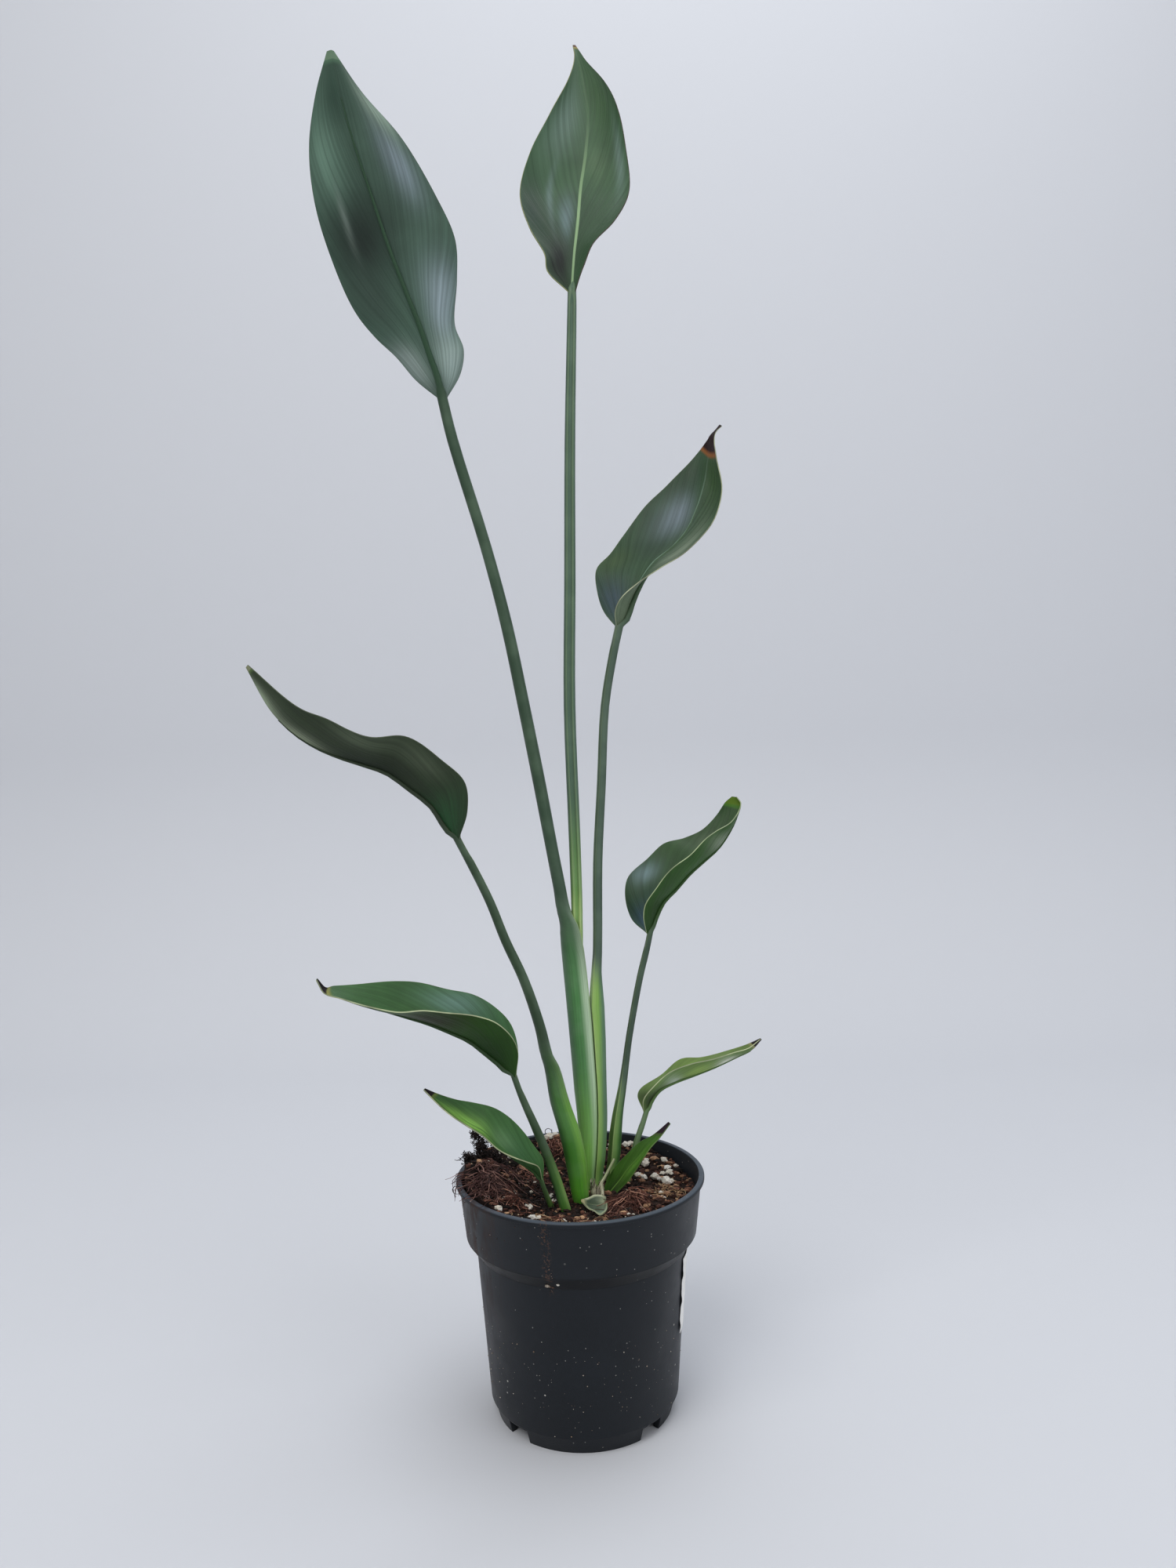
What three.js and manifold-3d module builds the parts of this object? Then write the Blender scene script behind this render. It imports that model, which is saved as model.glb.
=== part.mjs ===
// Potted bird of paradise: a young plant of nine leaves in a two-ranked fan, in a round nursery pot.
// Millimetres, +Z up. The origin is the centre of the pot's foot on the surface that it stands on.
// -Y is toward the viewer and +X to the right, and the fan of leaves spreads along X.
import * as THREE from 'three';
import { mergeVertices } from 'three/addons/utils/BufferGeometryUtils.js';
import Module from 'manifold-3d';

const wasm = await Module();
wasm.setup();

// Pot
const RIM_RADIUS = 65;
const POT_HEIGHT = 122;
const WALL = 1.3;
const LIP_HEIGHT = 2.2;
const COLLAR_TOP_RADIUS = 63.3;
const COLLAR_LOW_RADIUS = 60.3;
const COLLAR_LOW_Z = 93;
const BODY_TOP_RADIUS = 55;
const BODY_TOP_Z = 86;
const BODY_LOW_RADIUS = 49.3;
const FOOT_STEP_Z = 8.6;
const FOOT_RADIUS = 46;
const FOOT_INNER_RADIUS = 42.8;
const FLOOR_UNDERSIDE_Z = 7.2;
const FLOOR_TOP_Z = 8.8;
const PAD_RADIUS = 14;
const NOTCH_WIDTH = 13;
const NOTCH_HEIGHT = 6.6;
const NOTCH_COUNT = 4;
const DRAIN_RADIUS = 4;
const DRAIN_CIRCLE = 29;
const POT_SIDES = 44;

// Blank sticker on the pot's body, from just in front of the right edge round to the back
const LABEL_FROM = -20;
const LABEL_TO = 32;
const LABEL_LOW_Z = 44;
const LABEL_HIGH_Z = 83;
const LABEL_THICKNESS = 0.7;

// Soil
const SOIL_LEVEL = 112;
const SOIL_ANGLES = 36;
const SOIL_RINGS = 10;
const GRAIN_COUNT = 20;

// Root crown
const CROWN_TOP_Z = 99.6;
const CROWN_HALF_HEIGHT = 9;
const CROWN_CENTRE = [5, -3];
const CROWN_STRETCH = 2.1;
const FAN_ANGLE = 50;
const ROOT_STEPS = 5;
const ROOT_SIDES = 5;
const STEM_FOOT_Z = 100;

// Small gap that pieces keep where they touch
const GAP = 0.35;
const SHORTEST_EDGE = 0.02;

// Leaves
const BLADE_THICKNESS = 0.9;
const MARGIN_THICKNESS = 0.7;
const BLADE_ROWS = 12;
const HALF_COLUMNS = 3;
const ARC_STEPS = 6;
const KEEL_ROWS = [1, 3, 5, 7, 9];
const KEEL_SINK = 0.8;
// Offset and radius of the bite, in stalk radii: a petiole's groove, and the flat top of a keel
const GROOVE = [1.1, 0.5];
const FLAT = [6.8, 6];

const DEGREE = Math.PI / 180;
const UP = new THREE.Vector3(0, 0, 1);

const vector = (point) => new THREE.Vector3(...point);

function smoothstep(low, high, value) {
  const t = Math.min(1, Math.max(0, (value - low) / (high - low)));
  return t * t * (3 - 2 * t);
}

// Closed geometry from points and triangles, turned so that its faces point outward
function closedGeometry(points, triangles) {
  let volume = 0;
  for (const [a, b, c] of triangles) {
    volume += points[a].dot(points[b].clone().cross(points[c]));
  }
  const faces = volume < 0 ? triangles.map(([a, b, c]) => [a, c, b]) : triangles;
  const geometry = new THREE.BufferGeometry();
  geometry.setAttribute('position', new THREE.Float32BufferAttribute(points.flatMap((p) => p.toArray()), 3));
  geometry.setIndex(faces.flat());
  return geometry;
}

function solidOf(geometry, tolerance = 1e-4) {
  const bare = geometry.clone();
  bare.deleteAttribute('normal');
  bare.deleteAttribute('uv');
  const merged = mergeVertices(bare, tolerance);
  return new wasm.Manifold(new wasm.Mesh({
    numProp: 3,
    vertProperties: new Float32Array(merged.attributes.position.array),
    triVerts: new Uint32Array(merged.index.array),
  }));
}

// Geometry of a solid's largest shell: a hollow that joining sealed is filled and a scrap is dropped.
// The shortest edges are merged first, so that no shell hangs on another by a shared point.
function geometryOf(solid) {
  const joined = solid.simplify(SHORTEST_EDGE).getMesh();
  const rough = new THREE.BufferGeometry();
  rough.setAttribute('position', new THREE.BufferAttribute(joined.vertProperties, 3));
  rough.setIndex([...joined.triVerts]);
  const mesh = solidOf(rough, 1e-3).getMesh();
  const shellOf = Array.from({ length: mesh.vertProperties.length / 3 }, (_, vertex) => vertex);
  const root = (vertex) => {
    let top = vertex;
    while (shellOf[top] !== top) {
      top = shellOf[top];
    }
    shellOf[vertex] = top;
    return top;
  };
  const shells = new Map();
  for (let start = 0; start < mesh.triVerts.length; start += 3) {
    const [a, b, c] = mesh.triVerts.slice(start, start + 3);
    shellOf[root(b)] = root(a);
    shellOf[root(c)] = root(a);
  }
  for (let start = 0; start < mesh.triVerts.length; start += 3) {
    const triangle = mesh.triVerts.slice(start, start + 3);
    const shell = root(triangle[0]);
    shells.set(shell, [...(shells.get(shell) ?? []), ...triangle]);
  }
  const largest = [...shells.values()].reduce((best, one) => (one.length > best.length ? one : best));
  const geometry = new THREE.BufferGeometry();
  geometry.setAttribute('position', new THREE.BufferAttribute(mesh.vertProperties, 3));
  geometry.setIndex(largest);
  return geometry;
}

function namedMesh(name, geometry, color, roughness) {
  const material = new THREE.MeshStandardMaterial({ color, roughness, metalness: 0 });
  const mesh = new THREE.Mesh(geometry, material);
  mesh.name = name;
  return mesh;
}

// Two triangles between four corners of a strip, always split along a-c
function quad(triangles, a, b, c, d) {
  triangles.push([a, b, c], [a, c, d]);
}

// One ring of a stalk: a round section with a smaller circle bitten out of the side that faces the
// plant's middle. A shallow bite is a petiole's groove, and a deep one is the crescent of a sheath.
function stalkRing(centre, along, facing, radius, biteOffset, biteRadius) {
  const face = facing.clone().addScaledVector(along, -facing.dot(along)).normalize();
  const side = along.clone().cross(face);
  const biteCentre = centre.clone().addScaledVector(face, biteOffset);
  let outerReach = Math.PI - 0.14;
  let innerReach = Math.PI - 0.14;
  if (biteOffset + biteRadius > radius) {
    const crossing = (biteOffset ** 2 + radius ** 2 - biteRadius ** 2) / (2 * biteOffset);
    outerReach = Math.PI - Math.acos(crossing / radius) - 0.1;
    innerReach = Math.PI - Math.acos((crossing - biteOffset) / biteRadius) - 0.14;
  }
  const arc = (middle, size, reach) => Array.from({ length: ARC_STEPS + 1 }, (_, step) => {
    const angle = reach * (2 * step / ARC_STEPS - 1);
    return middle.clone()
      .addScaledVector(side, size * Math.sin(angle))
      .addScaledVector(face, -size * Math.cos(angle));
  });
  return [...arc(centre, radius, outerReach), ...arc(biteCentre, biteRadius, innerReach).reverse()];
}

// Closed solid through stalk rings, with a flat end at each end
function stalkSolid(rings) {
  const count = rings[0].length;
  const triangles = [];
  for (let ring = 0; ring < rings.length - 1; ring += 1) {
    for (let k = 0; k < count; k += 1) {
      const next = (k + 1) % count;
      quad(triangles, ring * count + k, ring * count + next, (ring + 1) * count + next, (ring + 1) * count + k);
    }
  }
  for (const [base, flip] of [[0, true], [(rings.length - 1) * count, false]]) {
    for (let k = 0; k < ARC_STEPS; k += 1) {
      const corners = [k, k + 1, count - 2 - k, count - 1 - k].map((index) => base + index);
      if (flip) {
        corners.reverse();
      }
      quad(triangles, ...corners);
    }
  }
  return solidOf(closedGeometry(rings.flat(), triangles));
}

// The three lines of a blade: its midrib and its two margins, each a smooth curve through stations
function bladeLines(stations) {
  return [0, 1, 2].map((line) => (
    new THREE.CatmullRomCurve3(stations.map((station) => vector(station[line])), false, 'centripetal')
  ));
}

// Place, direction and opening side of the midrib at a fraction of the blade's length
function midribFrame([midrib, near, far], fraction) {
  const place = midrib.getPoint(fraction);
  const along = midrib.getTangent(fraction);
  const open = near.getPoint(fraction).add(far.getPoint(fraction)).multiplyScalar(0.5).sub(place);
  open.addScaledVector(along, -open.dot(along)).normalize();
  return { place, along, open };
}

// Point of a blade's middle surface: across runs from -1 at the near margin to 1 at the far one
function bladePoint(lines, fraction, across, leaf) {
  const { place, open } = midribFrame(lines, fraction);
  const margin = lines[across < 0 ? 1 : 2].getPoint(fraction);
  const reach = Math.abs(across);
  const halfWidth = margin.distanceTo(place);
  const bulge = -0.3 * halfWidth * reach * (1 - reach);
  const phase = across < 0 ? 0.6 : 2.2;
  const swing = Math.sin(2 * Math.PI * leaf.waves * fraction + phase) * Math.sin(Math.PI * fraction);
  return place.lerp(margin, reach).addScaledVector(open, bulge + leaf.ripple * reach ** 2 * swing);
}

// Closed thin blade: the middle surface thickened along its own normals
function bladeSolid(leaf) {
  const lines = bladeLines(leaf.blade);
  const columns = 2 * HALF_COLUMNS;
  const grid = Array.from({ length: BLADE_ROWS + 1 }, (_, row) => (
    Array.from({ length: columns + 1 }, (_, column) => (
      bladePoint(lines, row / BLADE_ROWS, column / HALF_COLUMNS - 1, leaf)
    ))
  ));
  const upper = [];
  const lower = [];
  for (let row = 0; row <= BLADE_ROWS; row += 1) {
    for (let column = 0; column <= columns; column += 1) {
      const lengthwise = grid[Math.min(row + 1, BLADE_ROWS)][column].clone()
        .sub(grid[Math.max(row - 1, 0)][column]);
      const crosswise = grid[row][Math.min(column + 1, columns)].clone()
        .sub(grid[row][Math.max(column - 1, 0)]);
      const normal = lengthwise.cross(crosswise).normalize();
      const reach = Math.abs(column / HALF_COLUMNS - 1);
      const half = THREE.MathUtils.lerp(BLADE_THICKNESS, MARGIN_THICKNESS, reach) / 2;
      upper.push(grid[row][column].clone().addScaledVector(normal, half));
      lower.push(grid[row][column].clone().addScaledVector(normal, -half));
    }
  }
  const width = columns + 1;
  const below = upper.length;
  const triangles = [];
  for (let row = 0; row < BLADE_ROWS; row += 1) {
    for (let column = 0; column < columns; column += 1) {
      const a = row * width + column;
      const corners = [a, a + 1, a + 1 + width, a + width];
      const [p, q, r, s] = corners;
      triangles.push([p, r, q], [p, s, r]);
      triangles.push([p + below, q + below, r + below], [p + below, r + below, s + below]);
    }
  }
  const wall = (from, to) => {
    triangles.push([from, to, to + below], [from, to + below, from + below]);
  };
  for (let row = 0; row < BLADE_ROWS; row += 1) {
    wall((row + 1) * width, row * width);
    wall(row * width + columns, (row + 1) * width + columns);
  }
  for (let column = 0; column < columns; column += 1) {
    wall(column, column + 1);
    wall(BLADE_ROWS * width + column + 1, BLADE_ROWS * width + column);
  }
  return solidOf(closedGeometry([...upper, ...lower], triangles));
}

// Rings of the stalk from its foot to the blade, then of the keel that runs on under the midrib
function stalkRings(leaf) {
  const rows = leaf.stalk;
  const rings = rows.map(([x, y, z, radius, facing, biteOffset, biteRadius], index) => {
    const before = vector(rows[Math.max(index - 1, 0)].slice(0, 3));
    const after = vector(rows[Math.min(index + 1, rows.length - 1)].slice(0, 3));
    const leaning = after.sub(before).normalize();
    const along = UP.clone().lerp(leaning, smoothstep(0, 1, z - leaf.mouth)).normalize();
    const toward = new THREE.Vector3(Math.cos(facing * DEGREE), Math.sin(facing * DEGREE), 0);
    const [offset, size] = index === rows.length - 1 ? FLAT : GROOVE;
    const bite = [biteOffset ?? offset * radius, biteRadius ?? size * radius];
    return stalkRing(vector([x, y, z]), along, toward, radius, ...bite);
  });
  if (leaf.blade) {
    const lines = bladeLines(leaf.blade);
    const topRadius = rows.at(-1)[3];
    for (const row of KEEL_ROWS) {
      const { place, along, open } = midribFrame(lines, row / BLADE_ROWS);
      const radius = THREE.MathUtils.lerp(0.75 * topRadius, 0.6, row / KEEL_ROWS.at(-1));
      const centre = place.addScaledVector(open, -KEEL_SINK * radius);
      rings.push(stalkRing(centre, along, open, radius, FLAT[0] * radius, FLAT[1] * radius));
    }
  }
  return rings;
}

function leafGeometry(leaf) {
  let solid = bladeSolid(leaf);
  if (leaf.stalk) {
    solid = solid.add(stalkSolid(stalkRings(leaf)));
  }
  return geometryOf(solid);
}

// Each leaf: a stalk row is x, y, z, radius, the azimuth that its groove or sheath opens to, and for
// a sheath the offset and radius of the circle bitten out. Sections are level below the mouth height.
// A blade station is a point of the midrib, of the margin nearer the viewer and of the far margin.
const LEAVES = [
  {
    name: 'leaf_centre_tall', color: 0x3c5a48, mouth: 262, ripple: 1.2, waves: 3,
    stalk: [
      [5.0, 4.8, 100, 1.4, 270], [5.0, 4.8, 118, 1.8, 270], [5.3, 4.3, 128, 2.2, 270],
      [5.9, 4.4, 147, 2.5, 270], [5.3, 4.5, 165, 2.9, 270], [3.8, 4.5, 190, 3.0, 270],
      [2.7, 4.6, 208, 2.95, 270], [1.5, 4.6, 226, 2.95, 270], [1.2, 4.9, 240, 2.95, 270],
      [1.35, 5.2, 248, 2.95, 270],
      [1.3, 5.5, 253, 3.0, 270], [1.4, 5.5, 261, 3.0, 270], [1, 5, 300, 3.1, 270],
      [0, 5, 367, 3.1, 270], [1.6, 5, 430, 3.0, 270], [3.4, 5, 505, 2.8, 270], [6, 5, 573, 2.4, 270],
      [6.2, 5, 582, 2.2, 270],
    ],
    blade: [
      [[6, 4, 580], [4, 3.5, 580], [8, 3.5, 580]],
      [[7, 9, 593], [-6, 3, 590], [12, 3, 592]],
      [[8, 14, 605], [-8, 6, 601], [17, 6, 604]],
      [[10, 21, 623], [-15, 12, 616], [29, 12, 618]],
      [[12, 30, 645], [-20, 20, 638], [37, 20, 638]],
      [[15, 38, 666], [-15, 29, 665], [37, 29, 662]],
      [[17, 48, 692], [-4, 39, 688], [34, 39, 688]],
      [[15, 56, 714], [6, 50, 712], [27, 50, 712]],
      [[12, 62, 732], [10.5, 60, 731], [16, 60, 730]],
      [[10, 66, 741], [9.5, 66, 741], [11, 66, 741]],
    ],
  },
  {
    name: 'leaf_left_tall', color: 0x3f5b4c, mouth: 262, ripple: 1.0, waves: 2,
    stalk: [
      [4.0, 4.5, 100, 3.3, 20, 1.0, 2.0], [4.0, 4.5, 118, 4.2, 20, 1.0, 2.3],
      [4.2, 4.0, 128, 4.8, 20, 1.1, 2.6], [4.6, 4.0, 147, 5.4, 20, 1.3, 3.0],
      [3.8, 4.0, 165, 6.1, 20, 1.6, 3.4], [2.3, 4.0, 190, 6.2, 20, 1.6, 3.45],
      [1.1, 4.0, 208, 6.2, 20, 1.7, 3.5], [-0.2, 4.0, 226, 6.2, 20, 1.8, 3.6],
      [-1.4, 4.0, 240, 6.0, 20, 2.75, 3.6], [-1.75, 4.0, 244, 5.85, 20, 3.2, 3.6],
      [-2.1, 4.0, 248, 5.7, 20, 3.65, 3.6], [-2.8, 4.0, 253, 5.1, 20, 4.4, 3.7],
      [-5.7, 3.6, 261, 3.6, 16, 7.4, 3.9], [-7.4, 3, 272, 3.3, 25], [-10.5, 3, 290, 3.2, 35],
      [-16.6, 2, 327, 3.3, 50], [-23.8, 1, 368, 3.2, 65], [-31.2, 0, 408, 3.1, 75],
      [-40.9, -2, 449, 2.9, 80], [-56.5, -4, 504, 2.8, 80], [-61.5, -4, 527, 2.6, 80],
    ],
    blade: [
      [[-61, -3.5, 525], [-63, -3, 525], [-59, -3, 525]],
      [[-63, -6, 535], [-75, 1, 536], [-52, 1, 539]],
      [[-66, -8, 544], [-85, 0, 548], [-50, 0, 550]],
      [[-71, -12, 559], [-95, -2, 557], [-54, -2, 562]],
      [[-76, -16, 573], [-104, -5, 569], [-52, -5, 584]],
      [[-83, -22, 593], [-113, -10, 590], [-52, -10, 602]],
      [[-90, -28, 616], [-120, -16, 617], [-60, -16, 620]],
      [[-97, -35, 639], [-120, -25, 640], [-75, -25, 644]],
      [[-102, -41, 661], [-114, -35, 660], [-92, -35, 661]],
      [[-104, -45, 675], [-106, -44, 675], [-103, -44, 675]],
    ],
  },
  {
    name: 'leaf_right_tall', color: 0x42604a, mouth: 226.5, ripple: 0.6, waves: 3,
    stalk: [
      [7.0, 5.5, 100, 3.9, 199, 3.2, 3.75], [7.6, 5.7, 118, 4.4, 199, 3.8, 4.7],
      [8.7, 5.5, 128, 4.8, 199, 4.76, 5.3], [10.0, 5.9, 147, 4.9, 199, 5.7, 5.9],
      [10.0, 6.1, 165, 5.0, 199, 6.55, 6.6], [10.2, 6.7, 190, 4.9, 199, 8.35, 6.7],
      [10.5, 7.2, 208, 4.3, 199, 9.9, 6.7], [10.8, 7.7, 226, 2.9, 199, 11.5, 9.4],
      [11.8, 8.8, 240, 2.5, 200], [12.9, 10, 284, 2.5, 205], [15.8, 11, 326, 2.4, 205],
      [18.6, 12, 367, 2.3, 205], [23.9, 12, 396, 2.3, 200], [27, 12, 409, 2.3, 200],
    ],
    blade: [
      [[27, 12, 407], [25.5, 11, 408.5], [25.5, 13, 408.5]],
      [[31, 14, 415], [25, 7, 416], [19, 22, 418]],
      [[34, 16, 423], [28, 7, 423], [16, 26, 428]],
      [[39, 18, 433], [37, 8, 431], [16, 30, 441]],
      [[46, 21, 443], [49, 9, 438], [24, 34, 450]],
      [[57, 24, 452], [61, 12, 445], [31, 38, 461]],
      [[65, 27, 461], [71, 15, 455], [43, 41, 477]],
      [[71, 30.5, 473.6], [79, 18, 466], [56, 42, 488]],
      [[76, 35, 488.6], [84, 23, 481], [67, 44, 499]],
      [[78.6, 37, 502.6], [82, 29, 500], [75, 43, 508]],
      [[81, 38.3, 513.6], [82, 36.8, 512.8], [80.1, 40.2, 514.5]],
      [[83.1, 39.2, 517], [83.6, 38.6, 516.6], [82.7, 39.9, 517.3]],
      [[86, 40, 520], [86.5, 39.4, 519.5], [85.5, 40.6, 520.5]],
    ],
  },
  {
    name: 'leaf_left_middle', color: 0x37553a, mouth: 191, ripple: 0.8, waves: 3,
    stalk: [
      [1.5, -9.5, 100, 3.4, 50], [0, -14, 115, 4.4, 50, 2.2, 2.6], [-1.8, -14, 132, 5.4, 50, 2.8, 3.1],
      [-4.6, -15, 148, 5.5, 50, 3.0, 3.1], [-9.4, -16, 165, 5.0, 50, 3.0, 2.8],
      [-13.0, -17, 183, 3.9, 45, 3.0, 2.2], [-15.5, -18, 190, 3.1, 40], [-18.5, -20, 205, 2.7, 35],
      [-25.8, -24, 230, 2.5, 25], [-34.2, -26, 250, 2.4, 20], [-41.3, -28, 270, 2.3, 15],
      [-50.3, -30, 290, 2.2, 10], [-56.6, -32, 303, 2.0, 10],
    ],
    blade: [
      [[-56, -32, 301], [-55, -34, 302.5], [-55, -30, 302.5]],
      [[-62, -35, 310], [-50, -42, 316], [-55, -28, 313]],
      [[-67, -39, 319], [-50, -48, 331], [-54, -29, 328]],
      [[-77, -44, 328], [-61, -54, 342], [-66, -32, 339]],
      [[-87, -49, 336], [-76, -60, 352], [-81, -36, 350]],
      [[-97, -53, 340], [-90, -65, 353], [-95, -40, 351]],
      [[-108, -57, 344], [-101, -69, 357], [-107, -45, 355]],
      [[-118, -62, 349], [-110, -73, 361], [-116, -50, 359]],
      [[-127, -67, 356], [-118, -77, 365], [-124, -56, 364]],
      [[-135, -72, 366], [-127, -80, 372], [-132, -64, 371]],
      [[-143, -80, 385], [-142, -81, 386], [-142.5, -79, 386]],
    ],
  },
  {
    name: 'leaf_right_middle', color: 0x3d5c34, mouth: 164, ripple: 0.7, waves: 3,
    stalk: [
      [14.5, 10.5, 100, 2.7, 215], [17.1, 12, 119, 3.1, 215, 1.6, 1.8], [18.3, 12, 127, 3.4, 215, 1.8, 1.9],
      [19.2, 13, 137, 3.4, 215, 1.9, 1.9], [20.7, 14, 148, 2.9, 210, 1.9, 1.6], [23.6, 15, 163, 2.2, 205],
      [25.6, 16, 175, 1.9, 200], [28.0, 17, 190, 1.8, 200], [34.3, 20, 220, 1.8, 195],
      [38, 21, 234, 1.8, 190], [40.6, 22, 245, 1.7, 190],
    ],
    blade: [
      [[40, 22, 243], [38.5, 20.5, 244], [38.5, 23.5, 244]],
      [[43, 25, 251], [37, 16, 254], [31, 33, 250]],
      [[48, 28, 260], [38, 17, 261], [28, 38, 260]],
      [[55, 32, 266], [45, 18, 270], [30, 43, 271]],
      [[63, 35, 274], [53, 21, 278], [40, 47, 281]],
      [[71, 39, 280], [62, 25, 285], [50, 50, 290]],
      [[80, 42, 287], [71, 30, 293], [63, 53, 292]],
      [[86, 45, 294], [79, 35, 297], [72, 54, 296]],
      [[91, 48, 302], [88, 41, 302], [81, 55, 305]],
      [[94, 51, 310.6], [94.2, 48, 311.6], [86.6, 54, 312.4]],
      [[91.6, 52, 315.2], [92.6, 51, 315.2], [90, 53, 315.4]],
    ],
  },
  {
    name: 'leaf_left_low', color: 0x3a5f37, mouth: 125, ripple: 0.6, waves: 3,
    stalk: [
      [-5, -18, 100, 2.4, 45], [-7.7, -22, 112, 2.8, 45], [-11.0, -23, 124, 2.7, 45],
      [-15.7, -26, 140, 2.4, 35], [-21.0, -30, 156, 2.2, 25], [-27.0, -35, 173, 1.9, 15],
      [-31, -38, 186, 1.7, 10],
    ],
    blade: [
      [[-31, -38, 184], [-29.8, -39.7, 185.5], [-29.8, -36.3, 185.5]],
      [[-37, -41, 192], [-28, -48, 200], [-29, -33, 198]],
      [[-44, -44, 199], [-31, -54, 210], [-32, -34, 210]],
      [[-51, -48, 206], [-37, -59, 217], [-39, -36, 218]],
      [[-61, -52, 212], [-46, -64, 221], [-50, -39, 226]],
      [[-70, -56, 217], [-58, -68, 224], [-61, -42, 230]],
      [[-79, -60, 221], [-69, -72, 227], [-73, -47, 234]],
      [[-90, -65, 226], [-81, -76, 227], [-86, -53, 236]],
      [[-100, -70, 231], [-94, -78, 230], [-100, -60, 237]],
      [[-109, -74, 236], [-106, -80, 235], [-111, -67, 238]],
      [[-113.8, -76.3, 237.9], [-113.3, -77.8, 237], [-113.6, -74.8, 239]],
      [[-116.5, -78, 243], [-116, -79, 242.5], [-116.5, -77, 243.5]],
    ],
  },
  {
    name: 'leaf_right_low', color: 0x4c6c3c, mouth: 101, ripple: 0.3, waves: 2,
    stalk: [
      [20.5, 8, 100, 1.6, 215], [24.4, 9, 112, 1.7, 215], [26.8, 11, 121, 1.7, 210],
      [30.5, 13, 133, 1.6, 205], [33.5, 16.5, 140, 1.6, 200], [36.3, 20, 147, 1.5, 195],
    ],
    blade: [
      [[36, 20, 145.8], [34.7, 18.9, 147.3], [34.7, 21.2, 147.3]],
      [[39, 23, 152], [35, 18, 154], [32, 28, 153]],
      [[44, 26, 157], [40, 20, 160], [34, 32, 156]],
      [[53, 30, 160], [49, 23, 167], [46, 36, 162]],
      [[63, 34, 162], [61, 27, 170], [57, 41, 169]],
      [[76, 39, 165], [74, 32, 171], [69, 45, 169]],
      [[89, 44, 169], [87, 39, 173], [83, 49, 171]],
      [[98, 47, 172], [96, 44, 174], [95, 50, 174]],
      [[104, 50, 177], [103.5, 49.4, 177.4], [103.5, 50.6, 177.4]],
    ],
  },
  {
    name: 'leaf_left_front', color: 0x4a6e3e, mouth: 101, ripple: 0.3, waves: 2,
    stalk: [
      [-11, -16, 100, 1.3, 45], [-15.0, -19, 112, 1.4, 45], [-17.6, -28, 124, 1.3, 30],
      [-19, -32, 131, 1.2, 20],
    ],
    blade: [
      [[-19, -32, 130], [-18.6, -33.2, 131.4], [-18.2, -31, 131.4]],
      [[-22, -34, 136], [-20, -39, 140], [-18, -31, 141]],
      [[-27, -37, 141], [-25, -43, 144], [-22, -32, 148]],
      [[-34, -40, 147], [-33, -47, 149], [-28, -34, 157]],
      [[-40, -43, 153], [-39, -51, 154], [-35, -37, 165]],
      [[-46, -47, 161], [-45, -55, 161], [-42, -41, 171]],
      [[-54, -50, 167], [-53, -58, 168], [-51, -45, 175]],
      [[-61, -54, 174], [-60, -60, 174], [-58, -50, 178]],
      [[-67, -57, 180], [-66, -61, 180], [-65, -55, 182]],
      [[-72, -60, 186], [-71.6, -61, 186], [-71.6, -59, 186.4]],
    ],
  },
  {
    name: 'leaf_right_front', color: 0x55763f, mouth: 0, ripple: 0.2, waves: 2,
    blade: [
      [[9, -4, 100.3], [11.5, -4, 100.5], [6.5, -3.6, 100.5]],
      [[12, -3.5, 106], [15, -4.5, 106], [9.5, -2.8, 106.5]],
      [[15, -4, 112], [19, -6, 113], [11.5, -1.8, 112]],
      [[20, -4, 118], [24, -8, 119], [14.5, -1.6, 119]],
      [[25, -5, 125], [28.5, -9, 125], [19, -2.6, 126]],
      [[31, -6, 132], [33, -9.6, 132], [24, -4, 132]],
      [[36, -7, 138], [37, -9.6, 138], [31, -5, 139]],
      [[41, -7.5, 143], [42, -9, 143], [38, -6.4, 143]],
      [[47, -8, 150], [47.3, -8.6, 149.6], [46.4, -7.4, 150.2]],
    ],
  },
];

// The dried first leaf: a torn stub, a thin dry stalk and a small curled blade that lies on the soil
const STUB = [[8.5, -8.6, 104, 2.6], [8.5, -8.6, 113, 3.3], [8.6, -8.8, 116, 3.6], [8.8, -9, 119.5, 3.4]];
const DRY_STALK = [
  [11.4, -18, 116.4, 0.9], [11.2, -13.4, 117.6, 0.9], [10.8, -9.8, 119.2, 0.9], [13.4, -6.4, 122.6, 0.8],
  [18, -2, 129.4, 0.7],
];
const DRIED_BLADE = {
  ripple: 0.3, waves: 2,
  blade: [
    [[13.1, -19, 114.7], [13.6, -22, 114.7], [13.1, -16.5, 115.1]],
    [[11.4, -24.5, 115.1], [13, -33, 114.9], [11.3, -18, 116.6]],
    [[9, -27, 115.2], [10, -38, 115], [8.3, -18.4, 117]],
    [[6.2, -26.5, 115.3], [6.8, -33.5, 115], [5.9, -19, 116.8]],
    [[3.5, -24.5, 115.3], [3.6, -29, 115], [3.1, -20.5, 116.3]],
    [[0.5, -21.5, 115.5], [0.8, -22.1, 115.2], [0.6, -20.9, 115.7]],
  ],
};

// White grains that lie in the soil: x, y and size
const GRAINS = [
  [26, 50, 2.6], [35.7, 27.5, 2.5], [30.5, 14.5, 2.3], [39.8, 9, 2.6], [45.9, 30, 1.8], [47.4, 22.5, 2.1],
  [48, 16, 2.1], [45.4, 2.5, 3.3], [-25.3, -31.5, 1.9], [-23.4, -44, 2.3], [-6.3, -42.5, 1.9], [-18, 51, 3],
];
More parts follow.
